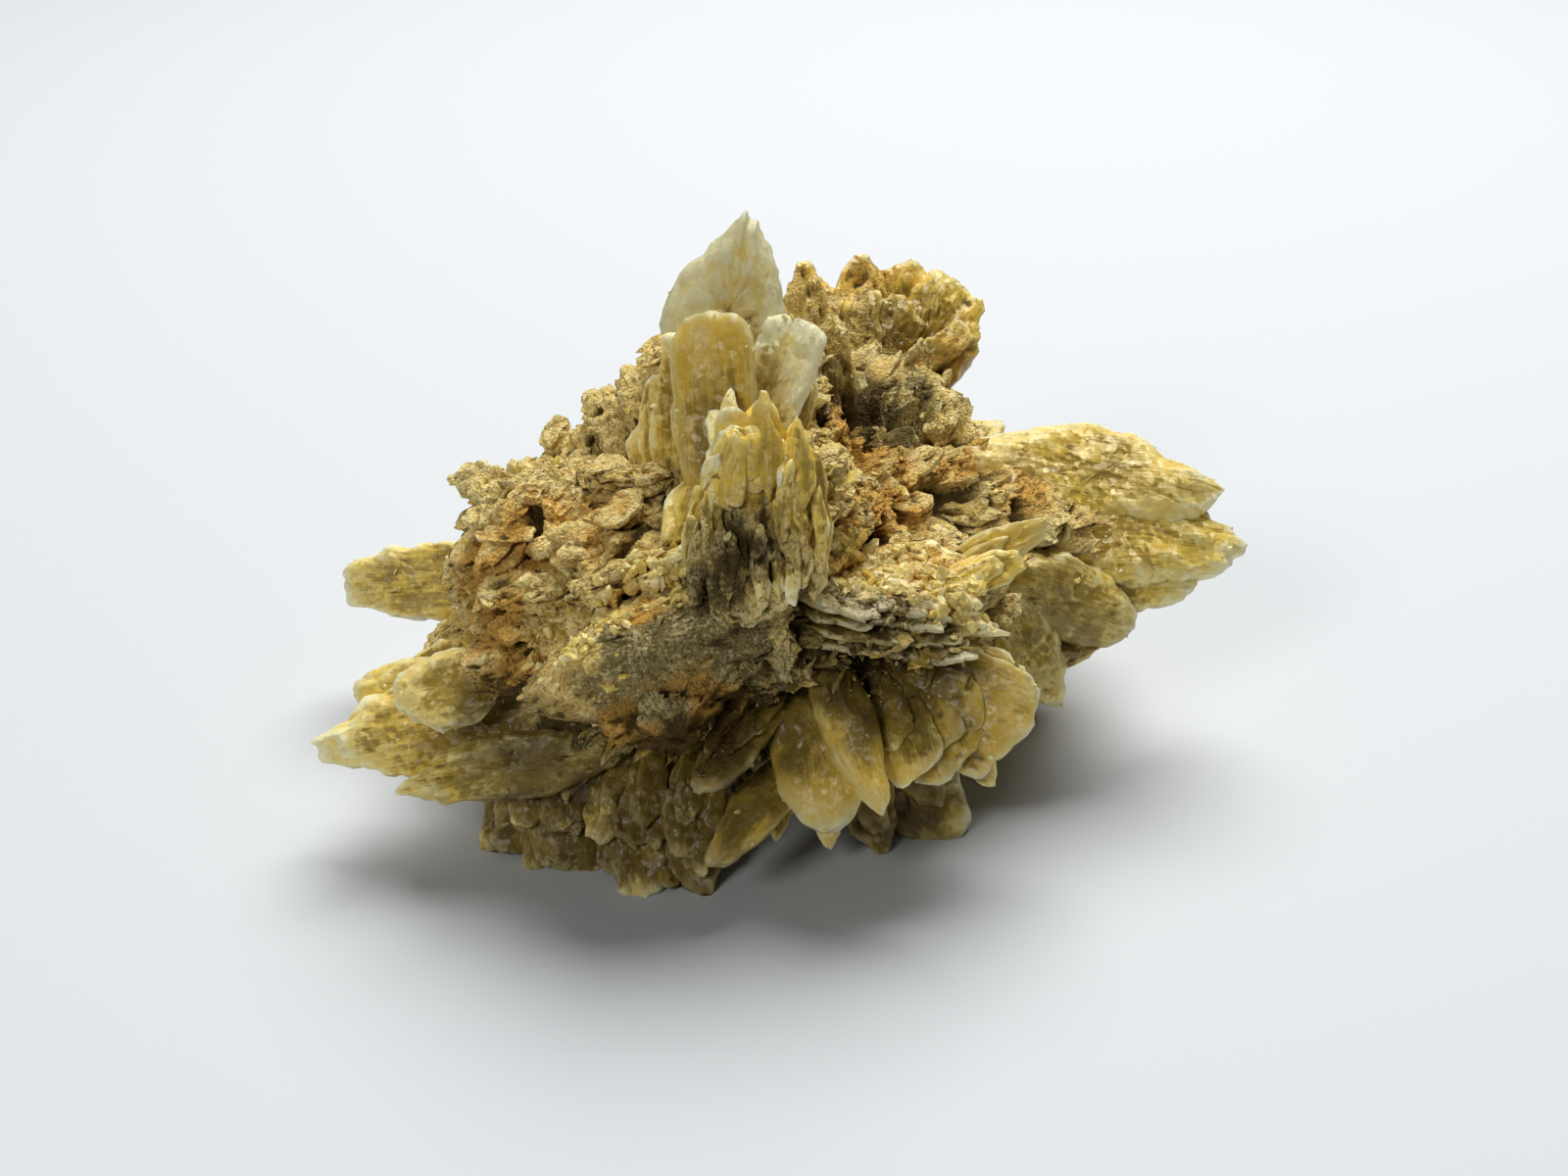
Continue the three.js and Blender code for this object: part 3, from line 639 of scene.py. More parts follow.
# A plate keeps this share of its thickness at its rim, and falls off to it with the row to this power: later
# where its end is cut square
Rim = namedtuple("Rim", "share power")
THIN_RIM = Rim(0.3, 5)
SQUARE_RIM = Rim(0.62, 9)
# A plate on its own is rounded where its half thickness in mm is more than this
ROUNDED_FROM = 2
# Straight crystal edges that trim each outline, and how far they turn from the tip, in radians
CUTS = 5
CUT_TURN = 2.2
# Ribs fan out from this many half lengths behind the middle. Ribs, and splinters at the rim, are this many mm
# apart
FAN_DISTANCE = 1.35
RIB_SPACING = 2.3
SPLINTER_SPACING = 0.8
# A plate bends along its length by this share of its half length
BEND = 0.04


def trimmed(u, v, growth, random):
    """An outline that straight edges trim: where it runs past the line cos(w) x + sin(w) y = c, it is drawn
    back to it."""
    for turn in random.uniform(-CUT_TURN, CUT_TURN, CUTS):
        past = np.cos(turn) * u + np.sin(turn) * v
        past = past / (past.max() * random.uniform(0.96 - 1.6 * min(growth.ragged, 0.08), 1))
        trim = np.minimum(1, 1 / np.maximum(past, 0.5))
        u, v = u * trim, v * trim
    return u, v


def plate_height(r, x, y, half, outline, rounded):
    """How thick a plate is at each point, as a share of the middle's: (1 - r^2)^0.8 for a rounded plate, and
    else the rim's share with (1 - r^power)^0.8 of the rest. A lens has a roof that falls evenly from its
    middle line to its rim."""
    if rounded:
        return (1 - r**2) ** RIM_SHARPNESS
    rim = SQUARE_RIM if outline.taper >= SLAB.taper else THIN_RIM
    height = rim.share + (1 - rim.share) * (1 - r**rim.power) ** RIM_SHARPNESS
    if outline is LENS:
        length, width, _ = half
        reaching = np.maximum((1 - np.abs(x / length) ** outline.taper) * width, 0.05 * width)
        roof = 1 - np.clip(np.abs(y) / reaching, 0, 1)
        height = np.minimum(height, 0.12 + 1.05 * roof)
    return height


def plate_surface(middle, along, side, out, half, outline, growth, seed, fine):
    """A crystal plate as a surface of two parameters: the angle round its rim, and the row from crown to
    crown.

    A point at angle t and row r stands cos(t) * r along and r times the outline across, at the plate's
    height. Ribs fan out from a point behind the root: straight runs between random heights, which also notch
    the rim.
    """
    length, width, thick = half
    rounded = growth.plates == 1 and thick > ROUNDED_FROM
    spacing = FINE_SPACING if fine else COARSE_SPACING
    around = int(np.clip(4 * (length + 0.4 * width) / spacing, FEWEST_POINTS, MOST_POINTS))
    share = np.array(FINE_ROWS if fine else COARSE_ROWS)
    row = np.concatenate([share, share[::-1]])
    face = np.repeat([1.0, -1.0], len(share))
    angle = np.linspace(0, 2 * np.pi, around, endpoint=False)
    u = np.cos(angle)
    v = np.sign(np.sin(angle)) * (1 - np.abs(u) ** outline.taper) ** outline.round * (1 + outline.flare * u)
    if not rounded:
        u, v = trimmed(u, v, growth, np.random.default_rng(300 + seed))

    fan = FAN_DISTANCE * length
    spread = (1 + FAN_DISTANCE) * length
    rim_turn = np.arctan2(v * width, u * length + fan) * spread
    notch = 0.5 * jagged(rim_turn / RIB_SPACING, seed) + 0.3 * jagged(rim_turn / SPLINTER_SPACING, seed + 1)
    notch = notch + 0.35 * jagged(angle * length / (2 * SPLINTER_SPACING), seed + 2)
    bite = growth.ragged * np.clip(0.55 + notch, 0, 1.5) * smooth_step(-0.95, -0.3, u)

    r = row[:, None]
    reach = r * (1 - bite[None, :] * r * r)
    x = reach * u * length
    y = reach * v * width
    turn = np.arctan2(y, x + fan) * spread
    rib = 0.7 * jagged(turn / RIB_SPACING, seed) + 0.3 * jagged(turn / SPLINTER_SPACING, seed + 1)
    rib_height = (0.05 if rounded else 0.2) * min(thick, 0.8) * smooth_step(0.1, 0.8, r)
    height = plate_height(r, x, y, half, outline, rounded)
    z = face[:, None] * (height * thick - rib_height * np.clip(rib, -1, 1))
    z = z + BEND * length * (x / length) ** 2 * (1 if seed % 2 else -1)

    points = middle + x[..., None] * along + y[..., None] * side + z[..., None] * out
    edge = (u / length)[:, None] * along + (v / width)[:, None] * side
    edge = edge / np.maximum(np.linalg.norm(edge, axis=-1, keepdims=True), 1e-6)
    outward = face[:, None, None] * (1.02 - r[..., None] ** 6) * out + r[..., None] ** 6 * edge
    poles = [middle + sign * thick * out for sign in (1, -1)]
    points = np.concatenate([poles[:1], points.reshape(-1, 3), poles[1:]])
    outward = unit(np.concatenate([[out], outward.reshape(-1, 3), [-out]]))
    local = np.stack([x, y, z], axis=-1).reshape(-1, 3)
    local = np.concatenate([np.zeros((1, 3)), local, np.zeros((1, 3))])
    rim = np.concatenate([[0], np.repeat(row, around), [0]])
    return points, outward, local, rim, closed_faces(len(row), around)


def blade_frame(blade):
    """A blade's middle, its directions along, across and out of its flat, and its half length."""
    root, tip = np.array(blade.root, float), np.array(blade.tip, float)
    reach = np.linalg.norm(tip - root) / 2
    along = (tip - root) / (2 * reach)
    normal = np.array(blade.face, float)
    normal = unit(normal - along * (normal @ along))
    return (root + tip) / 2, along, np.cross(normal, along), normal, reach


def blade_surface(blade, seed):
    """A blade as a sheaf of plates. At height q of its stack, from -1 to 1, a plate's half length and width
    are at most the blade's times the root of 1 - |q|^1.25, or 1 - 0.2 |q| where the plates stand apart."""
    middle, along, side, normal, reach = blade_frame(blade)
    growth = blade.growth
    random = np.random.default_rng(1000 + seed)
    half_stack = blade.thickness / 2
    single = growth.plates == 1
    share = 1.0 if single else min(growth.fill / growth.plates, 0.8)
    heights = np.zeros(1) if single else np.linspace(-1, 1, growth.plates) * (1 - share)
    surfaces = []
    for index, height in enumerate(heights):
        main = index == growth.plates // 2
        rounding = np.sqrt(1 - abs(height) ** (1 / RIM_SHARPNESS))
        limit = 1.0 if main else 1 - 0.2 * abs(height) if growth.fill < 1 else rounding
        wide = limit * (1 if main else random.uniform(0.6, 0.95))
        long = limit * (1 if main else random.uniform(0.75, 1))
        forward = along + random.normal() * 0.06 * side + (0.05 * height + random.normal() * 0.02) * normal
        forward = along if main else unit(forward)
        up = unit(normal - forward * (normal @ forward))
        base = middle + normal * height * half_stack - along * reach * (limit - long)
        base = base + side * random.uniform(-0.7, 0.7) * blade.width * (limit - wide)
        half = (reach * long, blade.width * wide, half_stack * share)
        shape = (half, blade.outline, growth, seed * 17 + index * 3, main or height > 0)
        sheet = plate_surface(base, forward, np.cross(up, forward), up, *shape)
        shift = np.array([seed * 13.0, seed * 7.0, height * 11.0])
        u = (sheet[0] - middle) @ along / reach
        surfaces.append(weathered_with_painted_light(growth, forward, up, half[2], *sheet, u, shift, random.uniform(-1, 1)))
    return joined(surfaces)


# Features of a blade's relief: laths this many times longer than broad, and their breadth, the knobs' size
# and the broken faces' size in mm
LATH_LENGTH = 4.0
LATH_WIDTH = 1.3
KNOB_SIZE = 3.4
FACE_SIZE = 1.5


def weathered_with_painted_light(growth, forward, up, thick, points, outward, local, rim, faces, u, shift, tone):
    """A plate with its relief and its look. Rounded knobs bend the whole plate and its rim; laths and broken
    faces lift each point outwards, and the laths end unevenly at the rim. u is the place along the blade,
    from -1 at the root to 1 at the tip."""
    flow = local + shift
    knobs = rough_noise(points, KNOB_SIZE, 21)
    laths = broken_faces(flow / np.array([LATH_LENGTH, 1.0, 1.6]), LATH_WIDTH, 33)
    chips = broken_faces(points, FACE_SIZE, 31)
    rim_knobs = rim**3 * rough_noise(points, 2.1, 23) - 0.2
    relief = growth.laths * laths + growth.grit * chips + growth.knobs * rim_knobs
    points = points + outward * np.maximum(relief, -0.6 * thick)[:, None]
    points = points + (0.8 * growth.knobs * knobs)[:, None] * up
    uneven = 2.0 * growth.ragged * np.minimum(laths, 0) * smooth_step(0.6, 1, rim) * smooth_step(-0.2, 0.5, u)
    points = points + forward * uneven[:, None]
    points[:, 2] = np.maximum(points[:, 2], 0)
    sandy = growth.cover + 0.5 * smooth_step(0.1, -0.8, u) + 0.24 * rough_noise(points, 4.5, 41)
    # Painted glow: thin rims and the tips are painted paler and more honey, as where light shines through
    # thin crystal
    thin = smooth_step(0.5, 1, rim) + 0.5 * smooth_step(-0.2, 1, u)
    pale = growth.frost + 0.16 * smooth_step(0.9, 1, rim) + 0.25 * thin - 0.08
    pale = pale + 0.12 * tone + 0.2 * (chips + 0.5 * laths)
    # Painted shade: the low places of the relief are painted dark where the plate is sandy
    dark = np.clip(-0.7 * (chips + 0.7 * laths + 0.5 * knobs) - 0.2, 0, 1) * smooth_step(0.2, 0.9, sandy)
    look = look_of(points, outward, sandy, pale, dark, 0.6 * tone + thin - 0.6)
    # Less painted shade on the broken rims
    look[:, SHADE_PAINT] *= 1 - 1.4 * growth.ragged * smooth_step(0.8, 1, rim)
    return Surface(points, faces, look, flow)


def look_of(points, outward, sandy, pale, dark, tone):
    """The six columns of a look. Dirt gathers where the space in front of a point is crowded, and open edges
    are scuffed pale."""
    near, far = crowding()
    close = sampled(near, points + NEAR_PROBE * outward)
    wide = sampled(far, points + FAR_PROBE * outward)
    # Painted shade: darker where the space in front of a point is crowded, close by and further off, as where
    # shade falls in crevices and hollows
    painted_crevice_shade = 0.9 * smooth_step(0.36, 0.72, close) + smooth_step(0.40, 0.66, wide)
    ones = np.ones(points.shape[:-1])
    grey = patches(points, GREY, 62)
    # Painted shade from the spots, the low relief and the crowding
    shade = np.maximum(dark, patches(points, PAINTED_SHADE_SPOTS, 63)) + painted_crevice_shade
    scuffed = pale + 0.35 * smooth_step(0.26, 0.08, close) - 0.3 * smooth_step(0.35, 0.6, close)
    columns = (sandy + 0.7 * grey, patches(points, RUST, 61), grey, scuffed, shade, tone * ones)
    return np.stack(columns, axis=-1)


# The grid that tells how crowded the specimen is: its spacing in mm, and the room it covers
VOXEL = 1.0
GRID_LOW = np.array([-60.0, -48.0, -12.0])
GRID_SIZE = (120, 98, 84)
# How often it is blurred to see about two and about five mm, and where a point looks it up, in mm before it
NEAR_BLURS = 3
FAR_BLURS = 16
NEAR_PROBE = 1.2
FAR_PROBE = 2.0


def softened(field, times):
    """A grid blurred along its three axes with the weights 1, 4, 6, 4, 1, so many times."""
    for _ in range(times):
        for axis in range(3):
            one = np.roll(field, 1, axis) + np.roll(field, -1, axis)
            two = np.roll(field, 2, axis) + np.roll(field, -2, axis)
            field = (6 * field + 4 * one + two) / 16
    return field


@lru_cache(maxsize=None)
def crowding():
    """How much of the room round each grid point is solid, close by and further off."""
    axes = [GRID_LOW[i] + VOXEL * np.arange(GRID_SIZE[i]) for i in range(3)]
    points = np.stack(np.meshgrid(*axes, indexing="ij"), axis=-1).reshape(-1, 3)
    solid = buried(points).astype(float).reshape(GRID_SIZE)
    near = softened(solid, NEAR_BLURS)
    return near, softened(near, FAR_BLURS)


def sampled(field, points):
    """A grid's value at each point: its eight neighbours mixed by how near they are."""
    place = np.clip((points - GRID_LOW) / VOXEL, 0, np.array(GRID_SIZE) - 1.001)
    base = place.astype(int)
    part = place - base
    total = np.zeros(len(points))
    for corner in CORNERS.astype(int):
        weight = np.prod(np.where(corner > 0, part, 1 - part), axis=-1)
        total += weight * field[tuple((base + corner).T)]
    return total


def exit_distance(origin, direction, lump):
    """How far a ray from origin goes before it leaves an ellipsoid, or 0 where it misses it."""
    start = (origin - np.array(lump.middle)) / np.array(lump.axes)
    way = direction / np.array(lump.axes)
    a = (way * way).sum(-1)
    b = (way * start).sum(-1)
    inside = b * b - a * (start @ start - 1)
    return np.where(inside > 0, (-b + np.sqrt(np.maximum(inside, 0))) / a, 0)


# The flat of the thin ledges in the matrix faces this way; in the upper right wall they stand on edge
BED_DIRECTION = unit(np.array([-0.28, -0.30, 1.0]))
WALL_DIRECTION = unit(np.array([0.85, -0.35, -0.15]))


def bed_direction(points):
    """The way that ledges and flakes face at each point: up on the slopes, sideways in the upper right."""
    x, y, z = points.T
    wall = smooth_step(29, 35, z) * smooth_step(0, 5, x) * smooth_step(6, 14, y)
    return unit(BED_DIRECTION + wall[:, None] * (2.5 * WALL_DIRECTION - BED_DIRECTION))


# Going up the bedding, a ledge juts out over this share of its spacing, and slopes back over the rest
TOOTH_RISE = 0.14


def matrix_relief(points, sizes):
    """Relief of the matrix in mm, its pale rims and its dark gaps: ledges like saw teeth across the bedding,
    soft lumps, broken faces in two sizes, and pits."""
    swell = rough_noise(points, 7, 71)
    phase = (points @ BED_DIRECTION) / (sizes.bedding / MM) + 0.4 * swell
    phase = phase + 0.35 * soft_noise(points, 2.2, 77)
    tooth = phase - np.floor(phase)
    ledge = np.where(tooth < TOOTH_RISE, tooth / TOOTH_RISE, (1 - tooth) / (1 - TOOTH_RISE))
    strength = 0.3 + 0.7 * smooth_step(-0.5, 0.4, soft_noise(points, 9, 72))
    lumps = rough_noise(points, 4.6, 73, 4)
    pits = smooth_step(0.3, 0.62, soft_noise(points, 2.7, 75))
    chunks = broken_faces(points, 2.1, 74)
    height = 1.7 * strength * (ledge - 0.5) + 0.35 * lumps + 0.3 * chunks - 1.2 * pits
    height = height + 0.16 * broken_faces(points, 0.95, 76)
    pale = strength * smooth_step(0.55, 0.95, ledge) + 0.35 * chunks
    # Painted shade: in the pits, just under each ledge's rim where its shadow falls, and in the low places of
    # the lumps
    dark = 0.9 * pits + strength * smooth_step(0.78, 1, tooth) + 0.5 * smooth_step(0, -1, lumps)
    return height * sizes.lump_relief / MM, np.clip(pale, 0, 1), np.clip(dark, 0, 1)


def core_surface(core, sizes):
    """The matrix seen from the core's middle: each ray ends where it leaves the last lump, and the relief is
    added to it."""
    down = np.linspace(0, np.pi, core.down + 2)[1:-1]
    around = np.linspace(0, 2 * np.pi, core.around, endpoint=False)
    ring = np.stack([np.cos(around), np.sin(around), np.zeros(core.around)], axis=-1)
    rays = np.sin(down)[:, None, None] * ring + np.cos(down)[:, None, None] * np.array([0, 0, 1.0])
    rays = np.concatenate([[[0, 0, 1.0]], rays.reshape(-1, 3), [[0, 0, -1.0]]])
    middle = np.array(core.middle, float)
    reach = np.max([exit_distance(middle, rays, lump) for lump in MATRIX], axis=0)
    points = middle + rays * np.minimum(reach, core.reach)[:, None]
    relief, pale, dark = matrix_relief(points, sizes)
    points = points + rays * relief[:, None]
    points[:, 2] = np.maximum(points[:, 2], 1.0)
    sandy = 1.3 + 0.3 * soft_noise(points, 3, 6)
    look = look_of(points, rays, sandy, pale, dark, soft_noise(points, 6, 5))
    return Surface(points, closed_faces(core.down, core.around), look, points.copy())


def point_normals(surface):
    """Outward direction at each point, as long as the area round it: the sum of its faces' directions."""
    points = surface.points
    total = np.zeros_like(points)
    for faces in surface.faces:
        if not len(faces):
            continue
        a, b, c = (points[faces[:, i]] for i in (0, 1, -1))
        across = np.cross(b - a, c - a)
        for axis in range(3):
            weights = np.repeat(across[:, axis], faces.shape[1])
            total[:, axis] += np.bincount(faces.ravel(), weights, len(points))
    return total


def edge_mean(values, pairs, count):
    """The mean, for each point, of the values at the points joined to it by an edge."""
    ends = np.concatenate([pairs[:, 0], pairs[:, 1]])
    others = np.concatenate([pairs[:, 1], pairs[:, 0]])
    shared = np.maximum(np.bincount(ends, minlength=count), 1)
    return np.stack([np.bincount(ends, values[others, i], count) / shared for i in range(3)], axis=-1)


def worn_and_shade_painted(surface):
    """A surface with dirt in its dips and on what looks down, and its ridges scuffed pale. A dip is a point
    that lies below the smoothed surface: each point moved five times to the mean of its neighbours."""
    points = surface.points
    look = surface.look.copy()
    pairs = []
    for faces in surface.faces:
        corners = faces.shape[1]
        pairs.extend(faces[:, [i, (i + 1) % corners]] for i in range(corners))
    pairs = np.concatenate(pairs)
    mean = points
    for _ in range(5):
        mean = edge_mean(mean, pairs, len(points))
    normals = unit(point_normals(surface) + 1e-9)
    dip = ((mean - points) * normals).sum(-1)
    under = smooth_step(0.1, -0.8, normals[:, 2])
    look[:, PALE] += 0.45 * smooth_step(0.04, 0.4, -dip) - 0.3 * smooth_step(0.0, 0.3, dip)
    # Painted shade: dips and faces that look down are painted darker, as where shade falls
    look[:, SHADE_PAINT] += 0.8 * smooth_step(0.03, 0.32, dip) + 0.35 * under
    return surface._replace(look=look)


def buried(points):
    """Whether a point lies inside a lump or a blade."""
    inside = np.zeros(len(points), bool)
    for lump in MATRIX:
        inside |= (((points - np.array(lump.middle)) / np.array(lump.axes)) ** 2).sum(-1) < 0.86
    for blades in CLUSTERS.values():
        for blade in blades:
            middle, along, side, normal, reach = blade_frame(blade)
            place = points - middle
            r = (place @ along / reach) ** 2 + (place @ side / blade.width) ** 2
            room = np.clip(1 - r, 0, 1) ** RIM_SHARPNESS * 0.8
            inside |= (r < 0.9) & (np.abs(place @ normal) * 2 / blade.thickness < room)
    return inside


# A small crystal before it is stretched: a ring of six, a narrower ring above it, and a crown on each end
RING = np.linspace(0, 2 * np.pi, 6, endpoint=False)
SMALL_SHAPE = np.concatenate(
    [
        [[0, 0, 1.0]],
        np.stack([0.8 * np.cos(RING), 0.8 * np.sin(RING), 0 * RING + 0.5], 1),
        np.stack([np.cos(RING), np.sin(RING), 0 * RING - 0.4], 1),
        [[0, 0, -1.0]],
    ]
)


def small_crystals(points, out, half, looks, random):
    """Small crystals, one on each point: two rings of six and two crowns, jittered, stretched and turned."""
    count = len(points)
    quads, ends = closed_faces(2, 6)
    number = len(SMALL_SHAPE)
    body = SMALL_SHAPE * (1 + 0.5 * (random.random((count, number, 1)) - 0.5)) * half[:, None, :]
    side = unit(np.cross(out, random.normal(size=(count, 3))))
    frames = np.stack([side, np.cross(out, side), out], axis=1)
    placed = points[:, None, :] + np.einsum("nvi,nij->nvj", body, frames)
    step = number * np.arange(count)[:, None, None]
    faces = ((quads + step).reshape(-1, 4), (ends + step).reshape(-1, 3))
    flow = (body + random.random((count, 1, 1)) * 900).reshape(-1, 3)
    return Surface(placed.reshape(-1, 3), faces, np.repeat(looks, number, axis=0), flow)


# The blades' plates have lower seeds than this
FIRST_LEDGE_SEED = 5000


def ledge_surfaces(names, count, seed):
    """Broad ledges that stand out of the matrix: single plates along its bedding, most of each one buried."""
    random = np.random.default_rng(seed)

    def likely(points, looks):
        return smooth_step(0.5, 0.9, looks[:, SANDY]) * smooth_step(12, 20, points[:, 2])

    points, normals, _ = strewn(names, count, likely, random)
    out = unit(bed_direction(points) + 0.12 * random.normal(size=points.shape))
    surfaces = []
    for index, (point, normal, up) in enumerate(zip(points, normals, out)):
        forward = normal - up * (normal @ up) + 0.3 * random.normal(size=3)
        forward = unit(forward - up * (forward @ up))
        half = (random.uniform(1.3, 2.4), random.uniform(1.8, 4.2), random.uniform(0.25, 0.5))
        middle = point - forward * half[0] * random.uniform(0.4, 0.85)
        outline = (SLAB, FAN, LEAF)[index % 3]
        shape = (half, outline, SLAB_LEDGE, FIRST_LEDGE_SEED + index, False)
        sheet = plate_surface(middle, forward, np.cross(up, forward), up, *shape)
        u = (sheet[0] - middle) @ forward / half[0]
        tone = random.uniform(-1, 1)
        where = (0.5 + 0.5 * u, np.full(3, index * 9.0), tone)
        surfaces.append(weathered_with_painted_light(SLAB_LEDGE, forward, up, half[2], *sheet, *where))
    return surfaces


CLUSTERS = {
    "summit": SUMMIT,
    "upper_right": UPPER_RIGHT,
    "right_lobe": RIGHT_LOBE,
    "ledges": LEDGES,
    "petals": PETALS,
    "feet": FEET,
    "left_front": LEFT_FRONT,
    "left_back": LEFT_BACK,
    "left_slope": LEFT_SLOPE,
    "snout": SNOUT,
    "comb": COMB,
    "back": BACK_LEAVES,
    "underside": UNDERSIDE,
}


@lru_cache(maxsize=None)
def cluster_surfaces(name):
    """The surfaces of a cluster's blades. Each blade's seed is its place among all the blades."""
    names = list(CLUSTERS)
    start = sum(len(CLUSTERS[other]) for other in names[: names.index(name)])
    return [blade_surface(blade, start + i) for i, blade in enumerate(CLUSTERS[name])]


@lru_cache(maxsize=None)
def ground(names):
    """Points, outward directions and looks that small crystals grow on, from the named clusters and cores."""
    sizes = bpy.context.scene.rose_sizes
    surfaces = [core_surface(core, sizes) for core in CORES if core.name in names]
    for name in names:
        surfaces.extend(cluster_surfaces(name) if name in CLUSTERS else [])
    return (
        np.concatenate([s.points for s in surfaces]),
        np.concatenate([point_normals(s) for s in surfaces]),
        np.concatenate([s.look for s in surfaces]),
    )


def strewn(names, count, likely, random):
    """Picks points on open ground and clear of the floor, as likely as their area times likely(points, looks)
    says. More are drawn than needed, because those that lie inside other blades are left out."""
    points, normals, looks = ground(names)
    chance = np.linalg.norm(normals, axis=-1) * likely(points, looks) * (points[:, 2] > 1.5)
    chance = chance / chance.sum()
    drawn = min(3 * count, len(points) // 2)
    picked = random.choice(len(points), size=drawn, replace=False, p=chance)
    picked = picked[~buried(points[picked] + 0.15 * unit(normals[picked] + 1e-9))][:count]
    return points[picked], unit(normals[picked] + 1e-9), looks[picked].copy()


# Edges are sharp where faces meet at more than this: on blades, on the matrix and on small crystals
SHARP_BLADE = math.radians(24)
SHARP_MATRIX = math.radians(34)
SHARP_SMALL = math.radians(15)


def add_piece(name, surface, material, sharp=SHARP_BLADE, grown=False):
    """Puts a surface into a mesh object in metres, which rides on the specimen and stands for its solid.
    Small crystals that have grown on it stay as clean as their looks say."""
    surface = surface if grown else worn_and_shade_painted(surface)
    quads, ends = surface.faces
    mesh = bpy.data.meshes.new(name)
    points = np.clip((surface.points - MIDDLE) * MM, *np.array(CAD_BOX))
    corners = np.concatenate([quads.ravel(), ends.ravel()]).astype(np.int32)
    sizes = np.concatenate([np.full(len(quads), quads.shape[1] if len(quads) else 4), np.full(len(ends), 3)])
    starts = np.concatenate([[0], np.cumsum(sizes)[:-1]]).astype(np.int32)
    mesh.vertices.add(len(points))
    mesh.vertices.foreach_set("co", points.astype(np.float32).ravel())
    mesh.loops.add(len(corners))
    mesh.loops.foreach_set("vertex_index", corners)
    mesh.polygons.add(len(sizes))
    mesh.polygons.foreach_set("loop_start", starts)
    mesh.update(calc_edges=True)
    # The second attribute holds the pale scuffing and frost, the painted shade, and the tone with its painted
    # glow.
    for key, columns in (("stain", (SANDY, RUSTY, GREYISH)), ("wear_and_painted_light", (PALE, SHADE_PAINT, TONE))):
        layer = mesh.attributes.new(key, "FLOAT_VECTOR", "POINT")
        layer.data.foreach_set("vector", surface.look[:, columns].astype(np.float32).ravel())
    layer = mesh.attributes.new("flow", "FLOAT_VECTOR", "POINT")
    layer.data.foreach_set("vector", surface.flow.astype(np.float32).ravel())
    mesh.polygons.foreach_set("use_smooth", np.ones(len(sizes), bool))
    mesh.set_sharp_from_angle(angle=sharp)
    mesh.validate()
    piece = bpy.data.objects.new(name, mesh)
    bpy.context.collection.objects.link(piece)
    mesh.materials.append(material)
    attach(piece, BODY)
    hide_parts(NODE)
    return piece


# Shader maths: a socket that takes part in Python sums

class Wire:
    """A number socket of a node tree. Sums, differences, products and quotients of wires add Math nodes."""

    def __init__(self, tree, socket):
        self.tree = tree
        self.socket = socket

    def _math(self, operation, first, second):
        return self.tree.node("Math", {"operation": operation}, {0: first, 1: second})

    def __add__(self, other):
        return self._math("ADD", self, other)

    def __radd__(self, other):
        return self._math("ADD", other, self)

    def __sub__(self, other):
        return self._math("SUBTRACT", self, other)

    def __rsub__(self, other):
        return self._math("SUBTRACT", other, self)

    def __mul__(self, other):
        return self._math("MULTIPLY", self, other)

    def __rmul__(self, other):
        return self._math("MULTIPLY", other, self)

    def clamp(self):
        return self.tree.node("Clamp", {}, {0: self})


